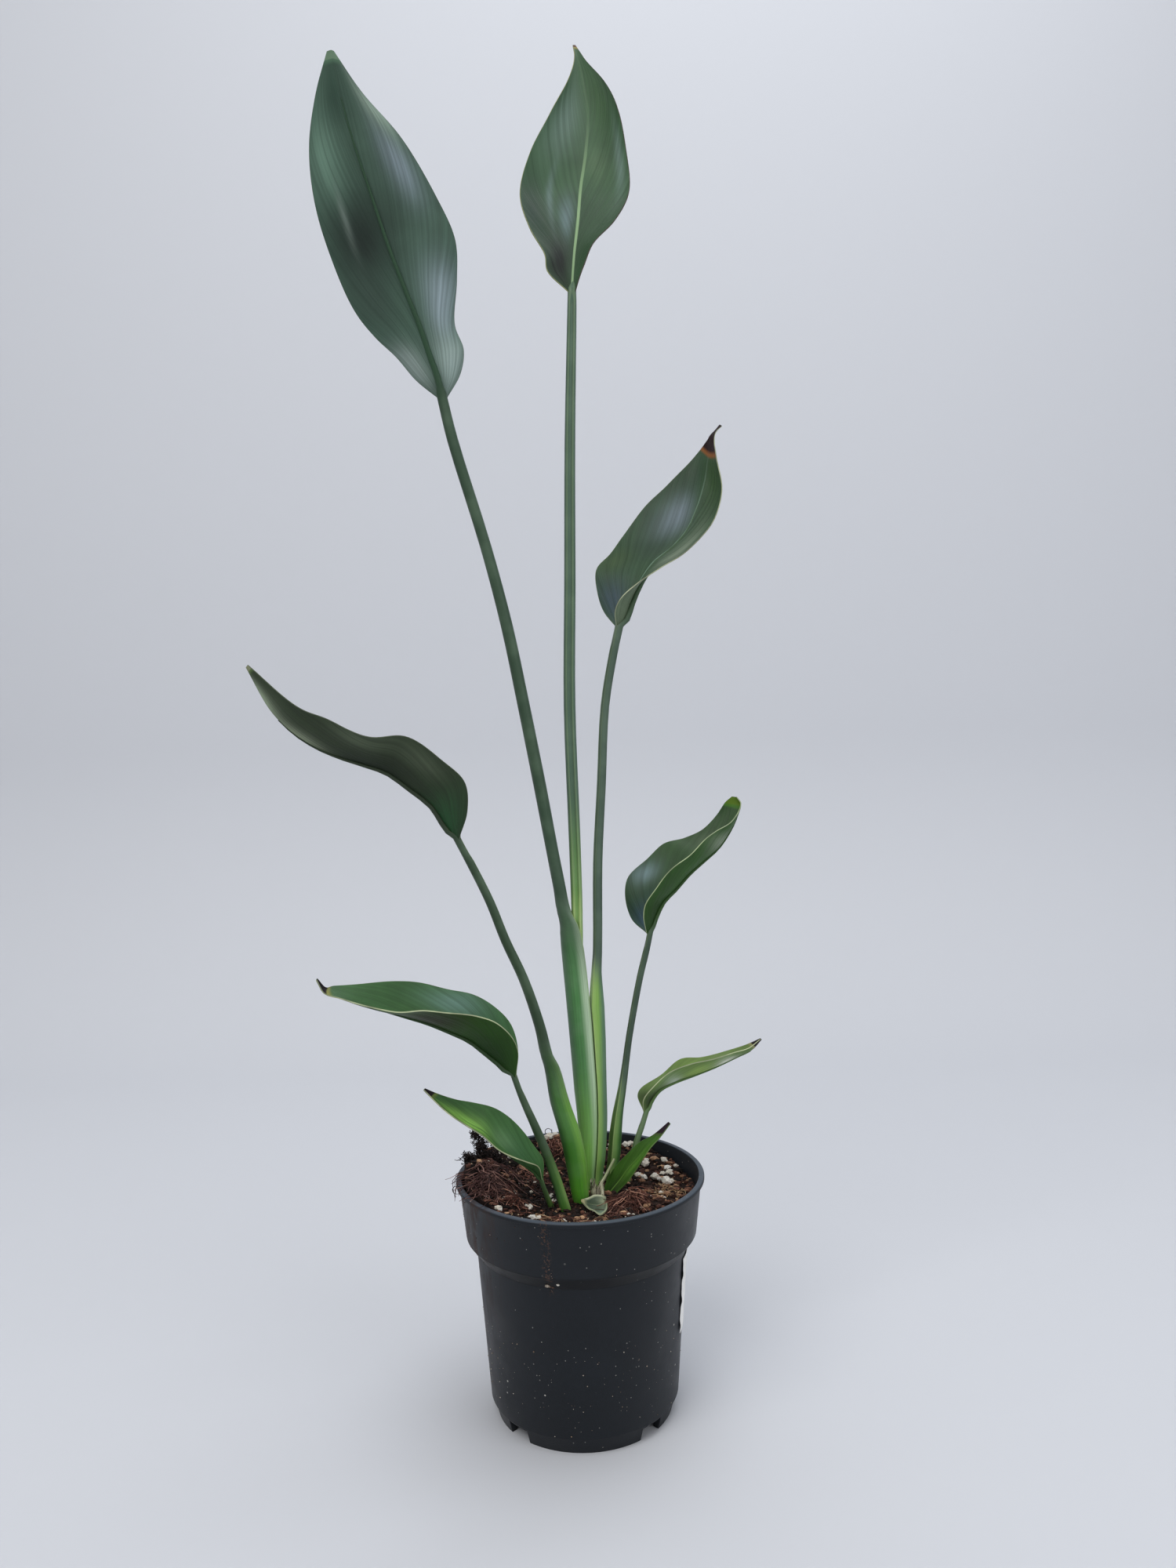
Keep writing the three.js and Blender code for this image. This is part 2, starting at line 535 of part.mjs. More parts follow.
// Dark tuft of fibre that stands up at the left: x, y, z and size
const TUFT = [
  [-53, 12, 125, 6], [-53, 13, 132.5, 4.6], [-56, 14, 138.5, 3.2], [-59.5, 8, 127.5, 4], [-46, 13, 127, 5],
  [-42, 11, 121, 5],
];
// Low mounds and dips in the soil: x and y, height, and how far it spreads
const MOUNDS = [
  [-50, -2, 5, 12], [-33, -29, 4, 6], [27, -20, 5, 7], [-15, 50, 5.5, 7], [-24, -10, -3, 7],
  [-6, -30, -1.5, 6],
];
// Holes in which the stems stand: x and y at the soil, x and y at the foot, and radius
const STEM_HOLES = [
  [6.4, 5, 5.6, 5, 6.9], [8.2, 5.6, 7, 5.5, 4.9], [0.3, -13.6, 1.5, -9.5, 4.9], [16.6, 11.6, 14.5, 10.5, 3.6],
  [-7.7, -22, -5, -18, 3.4], [24.6, 9.2, 20.5, 8, 2.5], [-15.2, -19.6, -11, -16, 2.6],
  [15, -4.2, 9, -4, 5.2], [8.5, -8.8, 8.5, -8.6, 4.1],
];
// Thick roots under the crown: azimuth, length outward and depth that each reaches
const ROOTS = [[20, 36, 62], [95, 34, 50], [160, 38, 68], [230, 34, 56], [300, 38, 66]];

// Repeatable random numbers
function randomSource(seed) {
  let state = seed;
  return () => {
    state = (state * 1664525 + 1013904223) % 4294967296;
    return state / 4294967296;
  };
}

// Smooth lumps from a fixed pattern, between -1 and 1
function lumps(x, y, size) {
  const value = (i, j) => {
    const wave = Math.sin(i * 127.1 + j * 311.7) * 43758.5453;
    return 2 * (wave - Math.floor(wave)) - 1;
  };
  const column = Math.floor(x / size);
  const row = Math.floor(y / size);
  const u = smoothstep(0, 1, x / size - column);
  const v = smoothstep(0, 1, y / size - row);
  const low = THREE.MathUtils.lerp(value(column, row), value(column + 1, row), u);
  const high = THREE.MathUtils.lerp(value(column, row + 1), value(column + 1, row + 1), u);
  return THREE.MathUtils.lerp(low, high, v);
}

function potInnerRadius(z) {
  if (z > COLLAR_LOW_Z + 0.8) {
    const rise = (z - COLLAR_LOW_Z - 0.8) / (POT_HEIGHT - COLLAR_LOW_Z - 0.8);
    return THREE.MathUtils.lerp(COLLAR_LOW_RADIUS, COLLAR_TOP_RADIUS + 0.2, rise) - WALL;
  }
  if (z > BODY_TOP_Z + 0.8) {
    const rise = (z - BODY_TOP_Z - 0.8) / (COLLAR_LOW_Z - BODY_TOP_Z);
    return THREE.MathUtils.lerp(BODY_TOP_RADIUS, COLLAR_LOW_RADIUS, rise) - WALL;
  }
  const rise = (z - FOOT_STEP_Z) / (BODY_TOP_Z + 0.8 - FOOT_STEP_Z);
  return THREE.MathUtils.lerp(BODY_LOW_RADIUS, BODY_TOP_RADIUS, rise) - WALL;
}

function bodyOuterRadius(z) {
  return THREE.MathUtils.lerp(BODY_LOW_RADIUS, BODY_TOP_RADIUS, (z - FOOT_STEP_Z) / (BODY_TOP_Z - FOOT_STEP_Z));
}

function upright(geometry) {
  return geometry.rotateX(Math.PI / 2);
}

function potGeometry() {
  const lipLow = POT_HEIGHT - LIP_HEIGHT;
  const profile = [
    [0, 0], [PAD_RADIUS, 0], [PAD_RADIUS, FLOOR_UNDERSIDE_Z], [FOOT_INNER_RADIUS, FLOOR_UNDERSIDE_Z],
    [FOOT_INNER_RADIUS, 0], [FOOT_RADIUS, 0], [BODY_LOW_RADIUS - 1, FOOT_STEP_Z], [BODY_LOW_RADIUS, FOOT_STEP_Z],
    [BODY_TOP_RADIUS, BODY_TOP_Z], [COLLAR_LOW_RADIUS, COLLAR_LOW_Z], [COLLAR_TOP_RADIUS, lipLow],
    [RIM_RADIUS, lipLow + 0.3], [RIM_RADIUS, POT_HEIGHT - 0.6], [RIM_RADIUS - 0.6, POT_HEIGHT],
    [potInnerRadius(POT_HEIGHT), POT_HEIGHT],
    [potInnerRadius(COLLAR_LOW_Z + 0.81), COLLAR_LOW_Z + 0.8], [potInnerRadius(BODY_TOP_Z + 0.81), BODY_TOP_Z + 0.8],
    [potInnerRadius(FLOOR_TOP_Z), FLOOR_TOP_Z], [0, FLOOR_TOP_Z],
  ].map(([radius, z]) => new THREE.Vector2(radius, z));
  let solid = solidOf(upright(new THREE.LatheGeometry(profile, POT_SIDES)));
  for (let notch = 0; notch < NOTCH_COUNT; notch += 1) {
    const angle = (notch + 0.5) * 2 * Math.PI / NOTCH_COUNT;
    const box = new THREE.BoxGeometry(12, NOTCH_WIDTH, 2 * NOTCH_HEIGHT);
    box.translate(FOOT_RADIUS - 1, 0, 0).rotateZ(angle);
    const hole = upright(new THREE.CylinderGeometry(DRAIN_RADIUS, DRAIN_RADIUS, 30, 12));
    hole.translate(DRAIN_CIRCLE, 0, 0).rotateZ(angle);
    solid = solid.subtract(solidOf(box)).subtract(solidOf(hole));
  }
  return geometryOf(solid);
}

function labelGeometry() {
  const steps = 8;
  const corner = (step, z, lift) => {
    const angle = THREE.MathUtils.lerp(LABEL_FROM, LABEL_TO, step / steps) * DEGREE;
    const radius = bodyOuterRadius(z) + lift;
    return new THREE.Vector3(radius * Math.cos(angle), radius * Math.sin(angle), z);
  };
  const points = [];
  for (let step = 0; step <= steps; step += 1) {
    points.push(corner(step, LABEL_LOW_Z, GAP), corner(step, LABEL_LOW_Z, GAP + LABEL_THICKNESS));
    points.push(corner(step, LABEL_HIGH_Z, GAP + LABEL_THICKNESS), corner(step, LABEL_HIGH_Z, GAP));
  }
  const triangles = [];
  for (let step = 0; step < steps; step += 1) {
    for (let side = 0; side < 4; side += 1) {
      const next = (side + 1) % 4;
      quad(triangles, 4 * step + side, 4 * step + 4 + side, 4 * step + 4 + next, 4 * step + next);
    }
  }
  quad(triangles, 0, 1, 2, 3);
  quad(triangles, 4 * steps + 3, 4 * steps + 2, 4 * steps + 1, 4 * steps);
  return closedGeometry(points, triangles);
}

// Tapered round tube along rows of x, y, z and radius
function taperedTube(rows, sides) {
  const points = [];
  const triangles = [];
  rows.forEach(([x, y, z, radius], index) => {
    const before = vector(rows[Math.max(index - 1, 0)].slice(0, 3));
    const along = vector(rows[Math.min(index + 1, rows.length - 1)].slice(0, 3)).sub(before).normalize();
    const across = new THREE.Vector3(along.y, -along.x, 0);
    if (across.length() < 0.01) {
      across.set(1, 0, 0);
    }
    across.normalize();
    const side = along.clone().cross(across);
    for (let k = 0; k < sides; k += 1) {
      const angle = 2 * Math.PI * k / sides;
      points.push(new THREE.Vector3(x, y, z)
        .addScaledVector(across, radius * Math.cos(angle))
        .addScaledVector(side, radius * Math.sin(angle)));
    }
  });
  for (let row = 0; row < rows.length - 1; row += 1) {
    for (let k = 0; k < sides; k += 1) {
      const next = (k + 1) % sides;
      quad(triangles, row * sides + k, row * sides + next, (row + 1) * sides + next, (row + 1) * sides + k);
    }
  }
  const last = (rows.length - 1) * sides;
  for (let k = 1; k < sides - 1; k += 1) {
    triangles.push([0, k + 1, k], [last, last + k, last + k + 1]);
  }
  return solidOf(closedGeometry(points, triangles));
}

// Root crown with its thick roots, drawn larger by the given amount for the space that it fills
function crownSolid(grow) {
  const half = CROWN_HALF_HEIGHT;
  const centreZ = CROWN_TOP_Z - half;
  const [centreX, centreY] = CROWN_CENTRE;
  const profile = [[0, -half], [6, -half + 1.5], [9.5, -4], [11, 0], [10.4, 5], [9.2, half], [0, half]];
  const points = profile.map(([radius, z]) => (
    new THREE.Vector2(radius === 0 ? 0 : radius + grow, z + (z > 0 ? grow : -grow) * (Math.abs(z) > 4 ? 1 : 0))
  ));
  const body = upright(new THREE.LatheGeometry(points, 12));
  body.scale(CROWN_STRETCH, 1, 1).rotateZ(FAN_ANGLE * DEGREE).translate(centreX, centreY, centreZ);
  let solid = solidOf(body);
  for (const [azimuth, outward, depth] of ROOTS) {
    const rows = [];
    for (let step = 0; step <= ROOT_STEPS; step += 1) {
      const t = step / ROOT_STEPS;
      const bend = 12 * Math.sin(Math.PI * t);
      const angle = (azimuth + bend) * DEGREE;
      const reach = 4 + outward * Math.sin(t * Math.PI / 2) * (1 - 0.18 * t);
      const z = centreZ - (depth + (step === ROOT_STEPS ? grow : 0)) * t ** 1.6;
      const radius = THREE.MathUtils.lerp(3.2, 1.6, t) + grow;
      rows.push([centreX + reach * Math.cos(angle), centreY + reach * Math.sin(angle), z, radius]);
    }
    solid = solid.add(taperedTube(rows, ROOT_SIDES));
  }
  return solid;
}

function soilHeight(x, y) {
  const radius = Math.hypot(x, y);
  const edge = 3.2 * smoothstep(25, 60, radius);
  const leftHeap = 7.5 * smoothstep(18, 50, -x);
  const backRise = 2 * smoothstep(20, 55, y);
  const rightDip = -3.4 * smoothstep(38, 60, x);
  const crownFlat = smoothstep(16, 34, Math.hypot(x - 5, y + 6));
  const relief = (1.0 * lumps(x, y, 8) + 0.6 * lumps(x + 50, y - 20, 4.5)) * (0.25 + 0.75 * crownFlat);
  const mounds = MOUNDS.reduce((sum, [atX, atY, height, spread]) => {
    return sum + height * Math.exp(-((x - atX) ** 2 + (y - atY) ** 2) / (2 * spread ** 2));
  }, 0);
  return SOIL_LEVEL + edge + leftHeap + backRise + rightDip + relief + mounds;
}

function soilGeometry(crownSpace) {
  const points = [new THREE.Vector3(0, 0, soilHeight(0, 0))];
  const triangles = [];
  const wallLevels = [POT_HEIGHT - 14, COLLAR_LOW_Z + 0.8, BODY_TOP_Z + 0.8, FLOOR_TOP_Z + GAP];
  const rings = SOIL_RINGS + wallLevels.length;
  for (let ring = 1; ring <= rings; ring += 1) {
    for (let step = 0; step < SOIL_ANGLES; step += 1) {
      const angle = 2 * Math.PI * step / SOIL_ANGLES;
      const edge = potInnerRadius(SOIL_LEVEL) - GAP;
      let radius = edge * Math.min(ring, SOIL_RINGS) / SOIL_RINGS;
      let z = soilHeight(radius * Math.cos(angle), radius * Math.sin(angle));
      if (ring > SOIL_RINGS) {
        z = wallLevels[ring - SOIL_RINGS - 1];
        radius = Math.min(edge, potInnerRadius(z) - GAP);
      }
      points.push(new THREE.Vector3(radius * Math.cos(angle), radius * Math.sin(angle), z));
    }
  }
  const bottom = points.length;
  points.push(new THREE.Vector3(0, 0, FLOOR_TOP_Z + GAP));
  for (let step = 0; step < SOIL_ANGLES; step += 1) {
    const next = (step + 1) % SOIL_ANGLES;
    triangles.push([0, 1 + step, 1 + next]);
    for (let ring = 1; ring < rings; ring += 1) {
      const inner = 1 + (ring - 1) * SOIL_ANGLES;
      const outer = inner + SOIL_ANGLES;
      quad(triangles, inner + step, outer + step, outer + next, inner + next);
    }
    const last = 1 + (rings - 1) * SOIL_ANGLES;
    triangles.push([bottom, last + next, last + step]);
  }
  let solid = solidOf(closedGeometry(points, triangles));
  const random = randomSource(7);
  const spots = [...GRAINS];
  while (spots.length < GRAIN_COUNT) {
    const radius = 57 * Math.sqrt(random());
    const angle = 2 * Math.PI * random();
    const spot = [radius * Math.cos(angle), radius * Math.sin(angle), 1 + 1.2 * random()];
    if (Math.hypot(spot[0] - 5, spot[1] + 4) > 32) {
      spots.push(spot);
    }
  }
  for (const [x, y, size] of spots) {
    const grain = new THREE.IcosahedronGeometry(size, 0).rotateX(size).rotateZ(x);
    grain.translate(x, y, soilHeight(x, y) + 0.35 * size);
    solid = solid.add(solidOf(grain));
  }
  for (const [x, y, z, size] of TUFT) {
    const tuft = new THREE.IcosahedronGeometry(size, 1).scale(0.8, 0.8, 1.25).rotateZ(z);
    solid = solid.add(solidOf(tuft.translate(x, y, z)));
  }
  for (const [x, y, footX, footY, radius] of STEM_HOLES) {
    const overshoot = 3;
    const top = [2 * x - footX, 2 * y - footY, 2 * SOIL_LEVEL - STEM_FOOT_Z + overshoot, radius];
    solid = solid.subtract(taperedTube([[footX, footY, STEM_FOOT_Z - overshoot, radius], top], 12));
  }
  return geometryOf(solid.subtract(crownSpace));
}

function driedLeafGeometry() {
  const parts = [taperedTube(STUB, 8), taperedTube(DRY_STALK, 6)];
  return geometryOf(parts.reduce((solid, part) => solid.add(part), bladeSolid(DRIED_BLADE)));
}

const plant = new THREE.Group();
plant.add(namedMesh('pot', potGeometry(), 0x262a30, 0.5));
plant.add(namedMesh('label', labelGeometry(), 0xe8e8e4, 0.6));
plant.add(namedMesh('soil', soilGeometry(crownSolid(GAP)), 0x3a2a22, 1));
plant.add(namedMesh('root_crown', geometryOf(crownSolid(0)), 0xc9b48a, 0.8));
for (const leaf of LEAVES) {
  plant.add(namedMesh(leaf.name, leafGeometry(leaf), leaf.color, 0.45));
}
plant.add(namedMesh('dried_first_leaf', driedLeafGeometry(), 0xb9a982, 0.8));

export default plant;
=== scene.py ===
"""Dresses a young bird of paradise plant in its nursery pot.

The packed solids are the fixed frame. Every leaf, the soil, the pot, the sticker and the dried first leaf
get a finer piece of the same form, with procedural materials. Lengths are in millimetres until a mesh is
placed, and MM turns them into metres.
"""

import math
import random

import bpy
import numpy as np
from bpy.props import FloatProperty, FloatVectorProperty, IntProperty, PointerProperty
from mathutils import Euler, Matrix, Vector, noise


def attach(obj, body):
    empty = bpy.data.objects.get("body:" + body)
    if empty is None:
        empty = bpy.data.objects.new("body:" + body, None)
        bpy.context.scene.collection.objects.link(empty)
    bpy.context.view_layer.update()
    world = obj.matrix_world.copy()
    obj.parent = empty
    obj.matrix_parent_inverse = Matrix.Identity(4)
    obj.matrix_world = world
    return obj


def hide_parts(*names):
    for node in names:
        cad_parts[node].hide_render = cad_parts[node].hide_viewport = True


bl_info = {
    "name": "Potted Bird of Paradise",
    "version": (1, 0, 0),
    "blender": (4, 5, 0),
    "location": "View3D > Sidebar > Plant",
    "description": "Builds the pot, soil and leaves of a young bird of paradise around a packed frame",
    "category": "Add Mesh",
}

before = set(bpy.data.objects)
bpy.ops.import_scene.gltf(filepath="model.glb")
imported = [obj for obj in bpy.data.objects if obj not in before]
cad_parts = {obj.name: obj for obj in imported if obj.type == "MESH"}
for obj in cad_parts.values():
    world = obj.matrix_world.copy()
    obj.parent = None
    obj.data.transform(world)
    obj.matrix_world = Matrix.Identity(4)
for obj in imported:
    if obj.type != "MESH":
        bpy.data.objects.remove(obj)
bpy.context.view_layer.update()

MM = 0.001
UP = np.array([0.0, 0.0, 1.0])

# Pot, as in the solids
COLLAR_TOP_RADIUS = 63.3
COLLAR_LOW_RADIUS = 60.3
COLLAR_LOW_Z = 93.0
BODY_TOP_RADIUS = 55.0
BODY_TOP_Z = 86.0
BODY_LOW_RADIUS = 49.3
FOOT_STEP_Z = 8.6
FOOT_RADIUS = 46.0
FOOT_INNER_RADIUS = 42.8
FLOOR_UNDERSIDE_Z = 7.2
FLOOR_TOP_Z = 8.8
PAD_RADIUS = 14.0
NOTCH_WIDTH = 13.0
NOTCH_DEPTH = 12.0
NOTCH_HEIGHT = 6.6
NOTCH_COUNT = 4
DRAIN_RADIUS = 4.0
DRAIN_CIRCLE = 29.0
POT_ROUNDING = 0.35
# How much higher the collar and the body end on the inner face, and a height just above that
INNER_RISE = 0.8
JUST_ABOVE = 0.81
# Azimuth in degrees of the streak of spilled soil on the pot
SPILL_AZIMUTH = -105.3

# Sticker on the pot's body: azimuths in degrees, heights and gap in millimetres
LABEL_FROM = -20.0
LABEL_TO = 32.0
LABEL_LOW_Z = 44.0
LABEL_HIGH_Z = 83.0
LABEL_GAP = 0.35
LABEL_THICKNESS = 0.18

SOIL_LEVEL = 112.0
SOIL_GAP = 0.35
SOIL_RELIEF = 1.5
# How far from the middle the crumbs, the small white grains and the clumps of fibre reach
CRUMB_REACH = 60.0
GRAIN_REACH = 58.0
CLUMP_REACH = 59.0

# Offset and radius of the circle bitten out of a stalk, in stalk radii:
# an upper stalk's groove and a keel's flat top
GROOVE = (1.1, 0.5)
FLAT = (6.8, 6.0)
# Steps round the outer face of a stalk and round its groove
OUTER_STEPS = 22
INNER_STEPS = 16
# How deep a keel sits in its blade, in keel radii, and where along the blade its rings start and end
KEEL_SINK = 0.8
KEEL_FROM = 0.06
KEEL_TO = 0.86
KEEL_RINGS = 18
# Largest gap in the seam of a grid that is rolled into a tube
SEAM_REACH = 0.002
# Points of a blade's midrib at which the length is summed
MIDRIB_POINTS = 200

# Gap between the veins of a blade, how far apart its two halves lie in the noise of the veins, how much that
# noise changes for each millimetre of the blade, and the length of the band below a tip
VEIN_GAP = 1.1
HALVES_APART = 7.0
VEIN_DRIFT = 0.02
TIP_BAND = 2.2
# How ragged the patches of a blade are, and how fast they fade out
PATCH_FEATHER = 0.7
PATCH_FALL = 1.1
# Share of the midrib's width and limits of the roughness on each face
MIDRIB_SHARE = {"upper": 1.0, "under": 0.6}
BLADE_ROUGHNESS = {"upper": (0.34, 0.48), "under": (0.44, 0.58)}

# Steps of a strand of fibre
STRAND_STEPS = 8

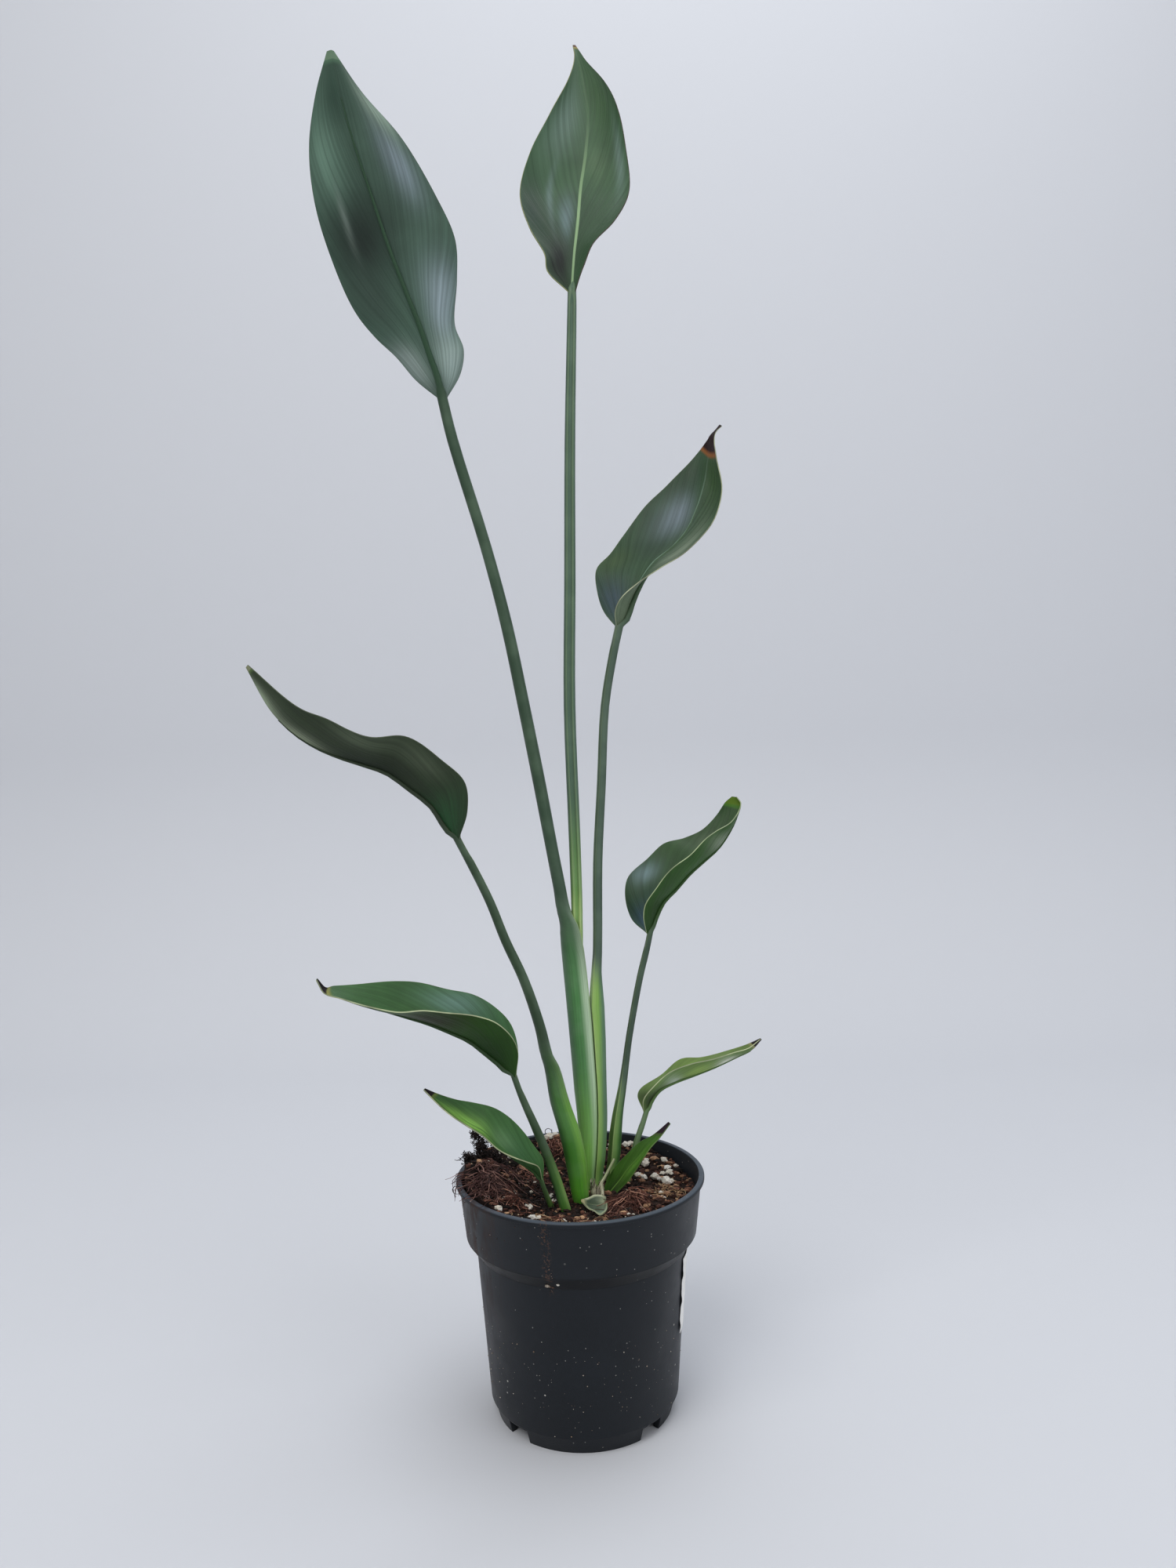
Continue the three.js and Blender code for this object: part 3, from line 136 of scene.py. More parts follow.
# Each leaf: a stalk row is x, y, z, radius, the azimuth that its groove or sheath opens to, and for a sheath
# the offset and radius of the circle bitten out. Sections are level below the mouth height. A blade station
# is a point of the midrib, of the margin nearer the viewer and of the far margin.
LEAVES = [
    {
        "name": "leaf_centre_tall", "mouth": 262, "ripple": 1.2, "waves": 3,
        "stalk": [
            [5.0, 4.8, 100, 1.4, 270], [5.0, 4.8, 118, 1.8, 270], [5.3, 4.3, 128, 2.2, 270],
            [5.9, 4.4, 147, 2.5, 270], [5.3, 4.5, 165, 2.9, 270], [3.8, 4.5, 190, 3.0, 270],
            [2.7, 4.6, 208, 2.95, 270], [1.5, 4.6, 226, 2.95, 270], [1.2, 4.9, 240, 2.95, 270],
            [1.35, 5.2, 248, 2.95, 270],
            [1.3, 5.5, 253, 3.0, 270], [1.4, 5.5, 261, 3.0, 270], [1, 5, 300, 3.1, 270],
            [0, 5, 367, 3.1, 270], [1.6, 5, 430, 3.0, 270], [3.4, 5, 505, 2.8, 270], [6, 5, 573, 2.4, 270],
            [6.2, 5, 582, 2.2, 270],
        ],
        "blade": [
            [[6, 4, 580], [4, 3.5, 580], [8, 3.5, 580]],
            [[7, 9, 593], [-6, 3, 590], [12, 3, 592]],
            [[8, 14, 605], [-8, 6, 601], [17, 6, 604]],
            [[10, 21, 623], [-15, 12, 616], [29, 12, 618]],
            [[12, 30, 645], [-20, 20, 638], [37, 20, 638]],
            [[15, 38, 666], [-15, 29, 665], [37, 29, 662]],
            [[17, 48, 692], [-4, 39, 688], [34, 39, 688]],
            [[15, 56, 714], [6, 50, 712], [27, 50, 712]],
            [[12, 62, 732], [10.5, 60, 731], [16, 60, 730]],
            [[10, 66, 741], [9.5, 66, 741], [11, 66, 741]],
        ],
    },
    {
        "name": "leaf_left_tall", "mouth": 262, "ripple": 1.0, "waves": 2,
        "stalk": [
            [4.0, 4.5, 100, 3.3, 20, 1.0, 2.0], [4.0, 4.5, 118, 4.2, 20, 1.0, 2.3],
            [4.2, 4.0, 128, 4.8, 20, 1.1, 2.6], [4.6, 4.0, 147, 5.4, 20, 1.3, 3.0],
            [3.8, 4.0, 165, 6.1, 20, 1.6, 3.4], [2.3, 4.0, 190, 6.2, 20, 1.6, 3.45],
            [1.1, 4.0, 208, 6.2, 20, 1.7, 3.5], [-0.2, 4.0, 226, 6.2, 20, 1.8, 3.6],
            [-1.4, 4.0, 240, 6.0, 20, 2.75, 3.6], [-1.75, 4.0, 244, 5.85, 20, 3.2, 3.6],
            [-2.1, 4.0, 248, 5.7, 20, 3.65, 3.6], [-2.8, 4.0, 253, 5.1, 20, 4.4, 3.7],
            [-5.7, 3.6, 261, 3.6, 16, 7.4, 3.9], [-7.4, 3, 272, 3.3, 25], [-10.5, 3, 290, 3.2, 35],
            [-16.6, 2, 327, 3.3, 50], [-23.8, 1, 368, 3.2, 65], [-31.2, 0, 408, 3.1, 75],
            [-40.9, -2, 449, 2.9, 80], [-56.5, -4, 504, 2.8, 80], [-61.5, -4, 527, 2.6, 80],
        ],
        "blade": [
            [[-61, -3.5, 525], [-63, -3, 525], [-59, -3, 525]],
            [[-63, -6, 535], [-75, 1, 536], [-52, 1, 539]],
            [[-66, -8, 544], [-85, 0, 548], [-50, 0, 550]],
            [[-71, -12, 559], [-95, -2, 557], [-54, -2, 562]],
            [[-76, -16, 573], [-104, -5, 569], [-52, -5, 584]],
            [[-83, -22, 593], [-113, -10, 590], [-52, -10, 602]],
            [[-90, -28, 616], [-120, -16, 617], [-60, -16, 620]],
            [[-97, -35, 639], [-120, -25, 640], [-75, -25, 644]],
            [[-102, -41, 661], [-114, -35, 660], [-92, -35, 661]],
            [[-104, -45, 675], [-106, -44, 675], [-103, -44, 675]],
        ],
    },
    {
        "name": "leaf_right_tall", "mouth": 226.5, "ripple": 0.6, "waves": 3,
        "stalk": [
            [7.0, 5.5, 100, 3.9, 199, 3.2, 3.75], [7.6, 5.7, 118, 4.4, 199, 3.8, 4.7],
            [8.7, 5.5, 128, 4.8, 199, 4.76, 5.3], [10.0, 5.9, 147, 4.9, 199, 5.7, 5.9],
            [10.0, 6.1, 165, 5.0, 199, 6.55, 6.6], [10.2, 6.7, 190, 4.9, 199, 8.35, 6.7],
            [10.5, 7.2, 208, 4.3, 199, 9.9, 6.7], [10.8, 7.7, 226, 2.9, 199, 11.5, 9.4],
            [11.8, 8.8, 240, 2.5, 200], [12.9, 10, 284, 2.5, 205], [15.8, 11, 326, 2.4, 205],
            [18.6, 12, 367, 2.3, 205], [23.9, 12, 396, 2.3, 200], [27, 12, 409, 2.3, 200],
        ],
        "blade": [
            [[27, 12, 407], [25.5, 11, 408.5], [25.5, 13, 408.5]],
            [[31, 14, 415], [25, 7, 416], [19, 22, 418]],
            [[34, 16, 423], [28, 7, 423], [16, 26, 428]],
            [[39, 18, 433], [37, 8, 431], [16, 30, 441]],
            [[46, 21, 443], [49, 9, 438], [24, 34, 450]],
            [[57, 24, 452], [61, 12, 445], [31, 38, 461]],
            [[65, 27, 461], [71, 15, 455], [43, 41, 477]],
            [[71, 30.5, 473.6], [79, 18, 466], [56, 42, 488]],
            [[76, 35, 488.6], [84, 23, 481], [67, 44, 499]],
            [[78.6, 37, 502.6], [82, 29, 500], [75, 43, 508]],
            [[81, 38.3, 513.6], [82, 36.8, 512.8], [80.1, 40.2, 514.5]],
            [[83.1, 39.2, 517], [83.6, 38.6, 516.6], [82.7, 39.9, 517.3]],
            [[86, 40, 520], [86.5, 39.4, 519.5], [85.5, 40.6, 520.5]],
        ],
    },
    {
        "name": "leaf_left_middle", "mouth": 191, "ripple": 0.8, "waves": 3,
        "stalk": [
            [1.5, -9.5, 100, 3.4, 50], [0, -14, 115, 4.4, 50, 2.2, 2.6], [-1.8, -14, 132, 5.4, 50, 2.8, 3.1],
            [-4.6, -15, 148, 5.5, 50, 3.0, 3.1], [-9.4, -16, 165, 5.0, 50, 3.0, 2.8],
            [-13.0, -17, 183, 3.9, 45, 3.0, 2.2], [-15.5, -18, 190, 3.1, 40], [-18.5, -20, 205, 2.7, 35],
            [-25.8, -24, 230, 2.5, 25], [-34.2, -26, 250, 2.4, 20], [-41.3, -28, 270, 2.3, 15],
            [-50.3, -30, 290, 2.2, 10], [-56.6, -32, 303, 2.0, 10],
        ],
        "blade": [
            [[-56, -32, 301], [-55, -34, 302.5], [-55, -30, 302.5]],
            [[-62, -35, 310], [-50, -42, 316], [-55, -28, 313]],
            [[-67, -39, 319], [-50, -48, 331], [-54, -29, 328]],
            [[-77, -44, 328], [-61, -54, 342], [-66, -32, 339]],
            [[-87, -49, 336], [-76, -60, 352], [-81, -36, 350]],
            [[-97, -53, 340], [-90, -65, 353], [-95, -40, 351]],
            [[-108, -57, 344], [-101, -69, 357], [-107, -45, 355]],
            [[-118, -62, 349], [-110, -73, 361], [-116, -50, 359]],
            [[-127, -67, 356], [-118, -77, 365], [-124, -56, 364]],
            [[-135, -72, 366], [-127, -80, 372], [-132, -64, 371]],
            [[-143, -80, 385], [-142, -81, 386], [-142.5, -79, 386]],
        ],
    },
    {
        "name": "leaf_right_middle", "mouth": 164, "ripple": 0.7, "waves": 3,
        "stalk": [
            [14.5, 10.5, 100, 2.7, 215], [17.1, 12, 119, 3.1, 215, 1.6, 1.8],
            [18.3, 12, 127, 3.4, 215, 1.8, 1.9], [19.2, 13, 137, 3.4, 215, 1.9, 1.9],
            [20.7, 14, 148, 2.9, 210, 1.9, 1.6], [23.6, 15, 163, 2.2, 205],
            [25.6, 16, 175, 1.9, 200], [28.0, 17, 190, 1.8, 200], [34.3, 20, 220, 1.8, 195],
            [38, 21, 234, 1.8, 190], [40.6, 22, 245, 1.7, 190],
        ],
        "blade": [
            [[40, 22, 243], [38.5, 20.5, 244], [38.5, 23.5, 244]],
            [[43, 25, 251], [37, 16, 254], [31, 33, 250]],
            [[48, 28, 260], [38, 17, 261], [28, 38, 260]],
            [[55, 32, 266], [45, 18, 270], [30, 43, 271]],
            [[63, 35, 274], [53, 21, 278], [40, 47, 281]],
            [[71, 39, 280], [62, 25, 285], [50, 50, 290]],
            [[80, 42, 287], [71, 30, 293], [63, 53, 292]],
            [[86, 45, 294], [79, 35, 297], [72, 54, 296]],
            [[91, 48, 302], [88, 41, 302], [81, 55, 305]],
            [[94, 51, 310.6], [94.2, 48, 311.6], [86.6, 54, 312.4]],
            [[91.6, 52, 315.2], [92.6, 51, 315.2], [90, 53, 315.4]],
        ],
    },
    {
        "name": "leaf_left_low", "mouth": 125, "ripple": 0.6, "waves": 3,
        "stalk": [
            [-5, -18, 100, 2.4, 45], [-7.7, -22, 112, 2.8, 45], [-11.0, -23, 124, 2.7, 45],
            [-15.7, -26, 140, 2.4, 35], [-21.0, -30, 156, 2.2, 25], [-27.0, -35, 173, 1.9, 15],
            [-31, -38, 186, 1.7, 10],
        ],
        "blade": [
            [[-31, -38, 184], [-29.8, -39.7, 185.5], [-29.8, -36.3, 185.5]],
            [[-37, -41, 192], [-28, -48, 200], [-29, -33, 198]],
            [[-44, -44, 199], [-31, -54, 210], [-32, -34, 210]],
            [[-51, -48, 206], [-37, -59, 217], [-39, -36, 218]],
            [[-61, -52, 212], [-46, -64, 221], [-50, -39, 226]],
            [[-70, -56, 217], [-58, -68, 224], [-61, -42, 230]],
            [[-79, -60, 221], [-69, -72, 227], [-73, -47, 234]],
            [[-90, -65, 226], [-81, -76, 227], [-86, -53, 236]],
            [[-100, -70, 231], [-94, -78, 230], [-100, -60, 237]],
            [[-109, -74, 236], [-106, -80, 235], [-111, -67, 238]],
            [[-113.8, -76.3, 237.9], [-113.3, -77.8, 237], [-113.6, -74.8, 239]],
            [[-116.5, -78, 243], [-116, -79, 242.5], [-116.5, -77, 243.5]],
        ],
    },
    {
        "name": "leaf_right_low", "mouth": 101, "ripple": 0.3, "waves": 2,
        "stalk": [
            [20.5, 8, 100, 1.6, 215], [24.4, 9, 112, 1.7, 215], [26.8, 11, 121, 1.7, 210],
            [30.5, 13, 133, 1.6, 205], [33.5, 16.5, 140, 1.6, 200], [36.3, 20, 147, 1.5, 195],
        ],
        "blade": [
            [[36, 20, 145.8], [34.7, 18.9, 147.3], [34.7, 21.2, 147.3]],
            [[39, 23, 152], [35, 18, 154], [32, 28, 153]],
            [[44, 26, 157], [40, 20, 160], [34, 32, 156]],
            [[53, 30, 160], [49, 23, 167], [46, 36, 162]],
            [[63, 34, 162], [61, 27, 170], [57, 41, 169]],
            [[76, 39, 165], [74, 32, 171], [69, 45, 169]],
            [[89, 44, 169], [87, 39, 173], [83, 49, 171]],
            [[98, 47, 172], [96, 44, 174], [95, 50, 174]],
            [[104, 50, 177], [103.5, 49.4, 177.4], [103.5, 50.6, 177.4]],
        ],
    },
    {
        "name": "leaf_left_front", "mouth": 101, "ripple": 0.3, "waves": 2,
        "stalk": [
            [-11, -16, 100, 1.3, 45], [-15.0, -19, 112, 1.4, 45], [-17.6, -28, 124, 1.3, 30],
            [-19, -32, 131, 1.2, 20],
        ],
        "blade": [
            [[-19, -32, 130], [-18.6, -33.2, 131.4], [-18.2, -31, 131.4]],
            [[-22, -34, 136], [-20, -39, 140], [-18, -31, 141]],
            [[-27, -37, 141], [-25, -43, 144], [-22, -32, 148]],
            [[-34, -40, 147], [-33, -47, 149], [-28, -34, 157]],
            [[-40, -43, 153], [-39, -51, 154], [-35, -37, 165]],
            [[-46, -47, 161], [-45, -55, 161], [-42, -41, 171]],
            [[-54, -50, 167], [-53, -58, 168], [-51, -45, 175]],
            [[-61, -54, 174], [-60, -60, 174], [-58, -50, 178]],
            [[-67, -57, 180], [-66, -61, 180], [-65, -55, 182]],
            [[-72, -60, 186], [-71.6, -61, 186], [-71.6, -59, 186.4]],
        ],
    },
    {
        "name": "leaf_right_front", "ripple": 0.2, "waves": 2,
        "blade": [
            [[9, -4, 100.3], [11.5, -4, 100.5], [6.5, -3.6, 100.5]],
            [[12, -3.5, 106], [15, -4.5, 106], [9.5, -2.8, 106.5]],
            [[15, -4, 112], [19, -6, 113], [11.5, -1.8, 112]],
            [[20, -4, 118], [24, -8, 119], [14.5, -1.6, 119]],
            [[25, -5, 125], [28.5, -9, 125], [19, -2.6, 126]],
            [[31, -6, 132], [33, -9.6, 132], [24, -4, 132]],
            [[36, -7, 138], [37, -9.6, 138], [31, -5, 139]],
            [[41, -7.5, 143], [42, -9, 143], [38, -6.4, 143]],
            [[47, -8, 150], [47.3, -8.6, 149.6], [46.4, -7.4, 150.2]],
        ],
    },
]

# The dried first leaf: a torn stub, a thin dry stalk and a small curled blade that lies on the soil.
# The stub has one torn strip for each of its sides, from a height up.
STUB_SIDES = 24
TEAR_FROM_Z = 114.0
TEAR_HEIGHT = 5.5
STUB = [[8.5, -8.6, 104, 2.6], [8.5, -8.6, 113, 3.3], [8.6, -8.8, 116, 3.6], [8.8, -9, 119.5, 3.4]]
DRY_STALK = [
    [11.4, -18, 116.4, 0.9], [11.2, -13.4, 117.6, 0.9], [10.8, -9.8, 119.2, 0.9], [13.4, -6.4, 122.6, 0.8],
    [18, -2, 129.4, 0.7],
]
DRIED_BLADE = {
    "name": "dried_first_leaf", "ripple": 0.3, "waves": 2,
    "blade": [
        [[13.1, -19, 114.7], [13.6, -22, 114.7], [13.1, -16.5, 115.1]],
        [[11.4, -24.5, 115.1], [13, -33, 114.9], [11.3, -18, 116.6]],
        [[9, -27, 115.2], [10, -38, 115], [8.3, -18.4, 117]],
        [[6.2, -26.5, 115.3], [6.8, -33.5, 115], [5.9, -19, 116.8]],
        [[3.5, -24.5, 115.3], [3.6, -29, 115], [3.1, -20.5, 116.3]],
        [[0.5, -21.5, 115.5], [0.8, -22.1, 115.2], [0.6, -20.9, 115.7]],
    ],
}

# Looks of each leaf, as sRGB hex colours: upper face, under face, keel, stalk above and sheath below.
# flanks: painted shade and highlight, as colours of the sheath's left and right flank. foot: its colour, the
# sheath's fresh green brightened as painted light against the shade low between the sheaths, the height up to
# which it is full and the height where it has faded. fresh: the height up to which a stalk has its sheath's
# colours and the height where they have faded. streak: colour and strength of the lines that run up a stalk.
# midrib: colour, width in mm and the fraction of the blade where it has faded.
# margin: near and far edge line. rim: width of that line in mm.
# tip: colour, length in mm and colour of the band below it.
# sweep: how far the veins run up, in blade lengths.
# patches: colour, fraction along, place across (near margin -1, far margin 1), reach of both, strength. Most
# patches are painted light: sheen and reflections, glow through the blade, and shade; the rest are the leaf's
# own tone.
LOOKS = {
    "leaf_centre_tall": {
        "slot": "leaf_tall", "upper": "3a573b", "under": "44604f", "keel": "4f6f52",
        "stalk": "4e6855", "sheath": "6b9a50", "flanks": ("4a6e38", "86a86c"),
        "foot": ("5f9a38", 120, 150), "fresh": (262, 330), "sweep": 0.55,
        "midrib": ("8aa87c", 1.1, 0.72), "margin": ("a2a672", "4a3a30"), "tip": ("5f4432", 2, "a3924c"),
        "patches": (
            ("6a7f76", 0.68, -0.6, 0.14, 0.35, 0.65), ("304e2c", 0.76, 0.42, 0.17, 0.5, 0.8),
            ("08110a", 0.12, -0.6, 0.14, 0.5, 1.0), ("64787a", 0.3, -0.25, 0.08, 0.16, 0.75),
            ("1f3328", 0.34, -0.85, 0.13, 0.24, 0.85), ("77898c", 0.38, -0.55, 0.12, 0.06, 0.35),
            ("6a8078", 0.52, 0.8, 0.15, 0.12, 0.6), ("2f4a30", 0.27, 0.5, 0.12, 0.45, 0.75),
            ("5f7a58", 0.5, 0.25, 0.07, 0.25, 0.4),
        ),
    },
    "leaf_left_tall": {
        "slot": "leaf_tall", "upper": "486250", "under": "4b6455", "keel": "2d4a33",
        "stalk": "3b503e", "sheath": "4f854c", "flanks": ("426a44", "c0d9b6"),
        "foot": ("a0e268", 120, 185), "fresh": (215, 268), "sweep": 0.85,
        "midrib": ("35523a", 0.9, 0.5), "margin": ("4c5640", "4c5640"), "tip": ("6f8a70", 3, "54745c"),
        "patches": (
            ("202a25", 0.5, -0.4, 0.15, 0.6, 0.97), ("7f8d95", 0.7, 0.65, 0.11, 0.24, 0.75),
            ("96a6ac", 0.28, 0.65, 0.11, 0.34, 0.85), ("a0b2ac", 0.1, 0.6, 0.09, 0.5, 0.85),
            ("6d8c7a", 0.74, -0.65, 0.13, 0.35, 0.75), ("2f463a", 0.88, -0.25, 0.08, 0.45, 0.75),
            ("7f8d84", 0.55, -0.55, 0.09, 0.06, 0.4), ("39483f", 0.33, -0.6, 0.12, 0.4, 0.7),
            ("9caaa4", 0.1, -0.65, 0.07, 0.4, 0.75), ("94a898", 0.86, 0.85, 0.09, 0.25, 0.7),
        ),
    },
    "leaf_right_tall": {
        "slot": "leaf_tall", "upper": "374f38", "under": "5f6f58", "keel": "3b5338",
        "stalk": "485b4d", "sheath": "84b250", "flanks": ("b8dc8a", "5c8060"),
        "foot": ("86c052", 118, 156), "fresh": (214, 236), "sweep": 0.6,
        "midrib": ("6f8a76", 0.7, 0.95), "margin": ("a7ad8c", "7c8a66"), "tip": ("1e0507", 19, "8a5226"),
        "patches": (
            ("6e7b84", 0.55, 0.4, 0.11, 0.32, 0.85), ("2c4030", 0.39, 0.35, 0.07, 0.4, 0.7),
            ("3a542f", 0.8, -0.5, 0.16, 0.6, 0.7), ("43535e", 0.12, 0.6, 0.09, 0.4, 0.85),
            ("42562f", 0.28, 0.85, 0.08, 0.25, 0.5), ("727e6c", 0.42, -0.6, 0.16, 0.4, 0.75),
            ("2b4230", 0.72, 0.45, 0.08, 0.4, 0.6),
        ),
    },
    "leaf_left_middle": {
        "slot": "leaf_middle", "upper": "45593a", "under": "303c29", "keel": "2b3825",
        "stalk": "324630", "sheath": "427e28", "flanks": ("27551c", "72aa40"),
        "foot": ("5aa02c", 112, 140), "fresh": (150, 200), "sweep": 0.9,
        "midrib": ("3a4a32", 0.9, 0.8), "margin": ("46523a", "7d8a62"), "tip": ("8e9272", 3, "5f7645"),
        "patches": (
            ("1c261a", 0.42, 0.0, 0.2, 0.5, 0.85), ("98a488", 0.71, 0.0, 0.1, 0.3, 0.85),
            ("27502f", 0.08, -0.1, 0.11, 0.9, 0.85), ("a2b294", 0.88, 0.0, 0.08, 0.45, 0.9),
            ("4e5946", 0.5, -0.85, 0.12, 0.25, 0.8), ("4e5946", 0.3, -0.75, 0.08, 0.2, 0.6),
        ),
    },
    "leaf_right_middle": {
        "slot": "leaf_middle", "upper": "385231", "under": "305620", "keel": "2f4f1f",
        "stalk": "35483a", "sheath": "3f7a22", "flanks": ("5f8c38", "2c5a20"),
        "foot": ("3a7a1e", 114, 146), "fresh": (140, 172), "sweep": 0.6,
        "midrib": ("55704a", 0.8, 0.9), "margin": ("a7b78a", "64794f"), "tip": ("5c7a22", 7, "4a7a26"),
        "patches": (
            ("3d5266", 0.1, 0.5, 0.12, 0.42, 0.9), ("7f979a", 0.36, 0.8, 0.07, 0.2, 0.85),
            ("2f4a2c", 0.45, 0.5, 0.1, 0.4, 0.6), ("1f3b12", 0.14, -0.4, 0.16, 0.9, 0.85),
            ("8c9a84", 0.7, -0.1, 0.08, 0.7, 0.75), ("2c4440", 0.26, 0.3, 0.08, 0.3, 0.6),
        ),
    },
    "leaf_left_low": {
        "slot": "leaf_low", "upper": "436a3e", "under": "2c4f1b", "keel": "26401c",
        "stalk": "364b2f", "sheath": "4d7a38", "flanks": ("2c5226", "6f9a48"),
        "foot": ("52882f", 110, 122), "fresh": (122, 150), "sweep": 0.7,
        "midrib": ("527a48", 0.8, 0.9), "margin": ("b3bd94", "5f7a48"), "tip": ("1c1518", 8, "8f8f4a"),
        "patches": (
            ("6a8a80", 0.42, 0.72, 0.13, 0.3, 0.8), ("1c2402", 0.5, -0.5, 0.14, 0.7, 1.0),
            ("16300f", 0.16, -0.2, 0.14, 0.7, 0.8), ("38603f", 0.25, 0.6, 0.12, 0.4, 0.6),
        ),
    },
    "leaf_right_low": {
        "slot": "leaf_low", "upper": "738f4c", "under": "70904e", "keel": "4c6a34",
        "stalk": "4f6a3c", "sheath": "6a9644", "flanks": ("538238", "74a250"),
        "foot": ("6a9644", 108, 116), "fresh": (112, 130), "sweep": 0.6,
        "midrib": ("7d9a55", 0.7, 0.9), "margin": ("b4bd92", "8c9a66"), "tip": ("1c1414", 5, "8d8a5c"),
        "patches": (
            ("9cbc5c", 0.5, -0.1, 0.13, 0.7, 0.75), ("121c0c", 0.1, 0.0, 0.1, 1.2, 0.9),
            ("c4d2c0", 0.3, -0.1, 0.06, 0.6, 0.75), ("e8eedc", 0.7, -0.2, 0.08, 0.5, 0.8),
        ),
    },
    "leaf_left_front": {
        "slot": "leaf_low", "upper": "456f3c", "under": "3a5e31", "keel": "33552b",
        "stalk": "4a6c3a", "sheath": "629340", "flanks": ("3f6c30", "7aa650"),
        "foot": ("629340", 108, 116), "fresh": (112, 128), "sweep": 0.6,
        "midrib": ("4a7240", 0.7, 0.9), "margin": ("b4bb90", "5f7f48"), "tip": ("1c1416", 5, "6c7c3c"),
        "patches": (
            ("a0d864", 0.66, -0.1, 0.2, 0.45, 0.85), ("7aa070", 0.35, 0.3, 0.1, 0.3, 0.7),
            ("2f5a36", 0.25, 0.2, 0.18, 0.8, 0.6),
        ),
    },
    "leaf_right_front": {
        "slot": "leaf_low", "upper": "46702a", "under": "335a1c", "sweep": 0.7,
        "midrib": ("5a8034", 0.5, 0.8), "margin": ("6f9048", "4a6c30"), "tip": ("2a1a26", 8, "4a5a30"),
        "patches": (("080f02", 0.28, -0.2, 0.18, 0.7, 0.97), ("5f8f34", 0.5, -0.3, 0.25, 0.4, 0.5)),
    },
}
DRIED_LOOK = {
    "slot": "leaf_dry", "upper": "465244", "under": "848d70", "keel": "a89d78",
    "stalk": "a6b084", "sheath": "d6ceb4", "flanks": ("c9bf9e", "d8d2ba"), "foot": ("9a8c6a", 110, 116),
    "fresh": (116, 124), "sweep": 0.5, "rim": 2.2, "streak": ("2a1c14", 0.85),
    "midrib": ("747c62", 0.4, 0.9), "margin": ("b4bb98", "cdd0ae"), "tip": ("a39c78", 2, "7d8064"),
    "patches": (("9aa283", 0.15, 0.3, 0.25, 0.9, 0.85), ("7f9280", 0.4, -0.9, 0.2, 0.3, 0.7)),
}

# White grains seen in the soil: x, y and size
GRAINS = [
    [26, 50, 2.6], [35.7, 27.5, 2.5], [30.5, 14.5, 2.3], [34.2, 11.5, 1.8], [39.8, 9, 2.6], [45.9, 30, 1.8],
    [47.4, 22.5, 2.1], [48, 16, 2.1], [44.1, 14, 1.6], [45.4, 2.5, 3.3], [41.6, -9.5, 1.2], [-35, -28.5, 1.1],
    [-37.6, -33, 0.9], [-39.9, -43.5, 1.9], [-25.3, -31.5, 1.9], [-23.4, -44, 2.3], [-20.5, -40, 1.7],
    [-6.3, -42.5, 1.9], [-15.9, -5.5, 1.6], [-13.7, -12, 1.6], [12.6, -47, 1.1], [0.3, -37.5, 1.1],
    [-39.2, 27.5, 1.3], [-44.5, 29, 1.0], [-24.5, 6, 0.9], [-18, 51, 3.0], [-32.4, 28, 2.0], [33, 43, 1.6],
    [52, 27, 1.4], [-30, 40, 1.6], [5, 54, 1.9], [-8, -53, 1.0], [-47, -30, 1.0], [24, -38, 0.9],
]
# Pieces of pale bark among the crumbs: x, y and size
BARK = [
    [-53, 1, 2.1], [-13, 51, 2.6], [-37.4, 3, 1.9], [-31, 22.5, 2.0], [-10.2, 44.5, 1.9], [40.5, 31.5, 2.2],
    [42.6, -7.5, 1.3], [54.6, 13.5, 1.5], [50.2, 1, 1.4], [-20.7, -6.5, 1.4], [-47.6, -12.5, 1.2],
    [20, 50, 1.8], [-11.3, -23, 1.2], [-29, -18, 1.2], [-24, 48, 1.7], [36, 20, 1.5], [51, -12, 1.2],
    [-34, 10, 1.4],
]
# Dark tuft of fibre that stands up at the left: x, y, z and size
TUFT = [
    [-53, 12, 125, 6], [-53, 13, 132.5, 4.6], [-56, 14, 138.5, 3.2], [-59.5, 8, 127.5, 4], [-46, 13, 127, 5],
    [-42, 11, 121, 5],
]
# Mounds of the soil under its clumps of fibre: x, y, height and spread
MOUNDS = [[-33, -29, 4, 6], [27, -20, 5, 7], [-15, 50, 5.5, 7], [-24, -10, -3, 7], [-6, -30, -1.5, 6]]
# Loose loops of dark root fibre: x, y, z and radius
LOOPS = [[-18.5, 53, 125.2, 2.0], [-62.6, -21, 121.6, 2.4]]

# Colours of each kind of coir fibre, from its dark strands to its pale ones; strands low in a mat take the
# dark end as painted shade
COIR_COLOURS = {
    "purple": ("180c0a", "5e3a36", "c89a8c"), "red": ("140a07", "6c3e33", "dca48c"),
    "tan": ("5f4634", "a07c5a", "d8ba92"), "dark": ("0b0909", "191213", "3a2926"),
}
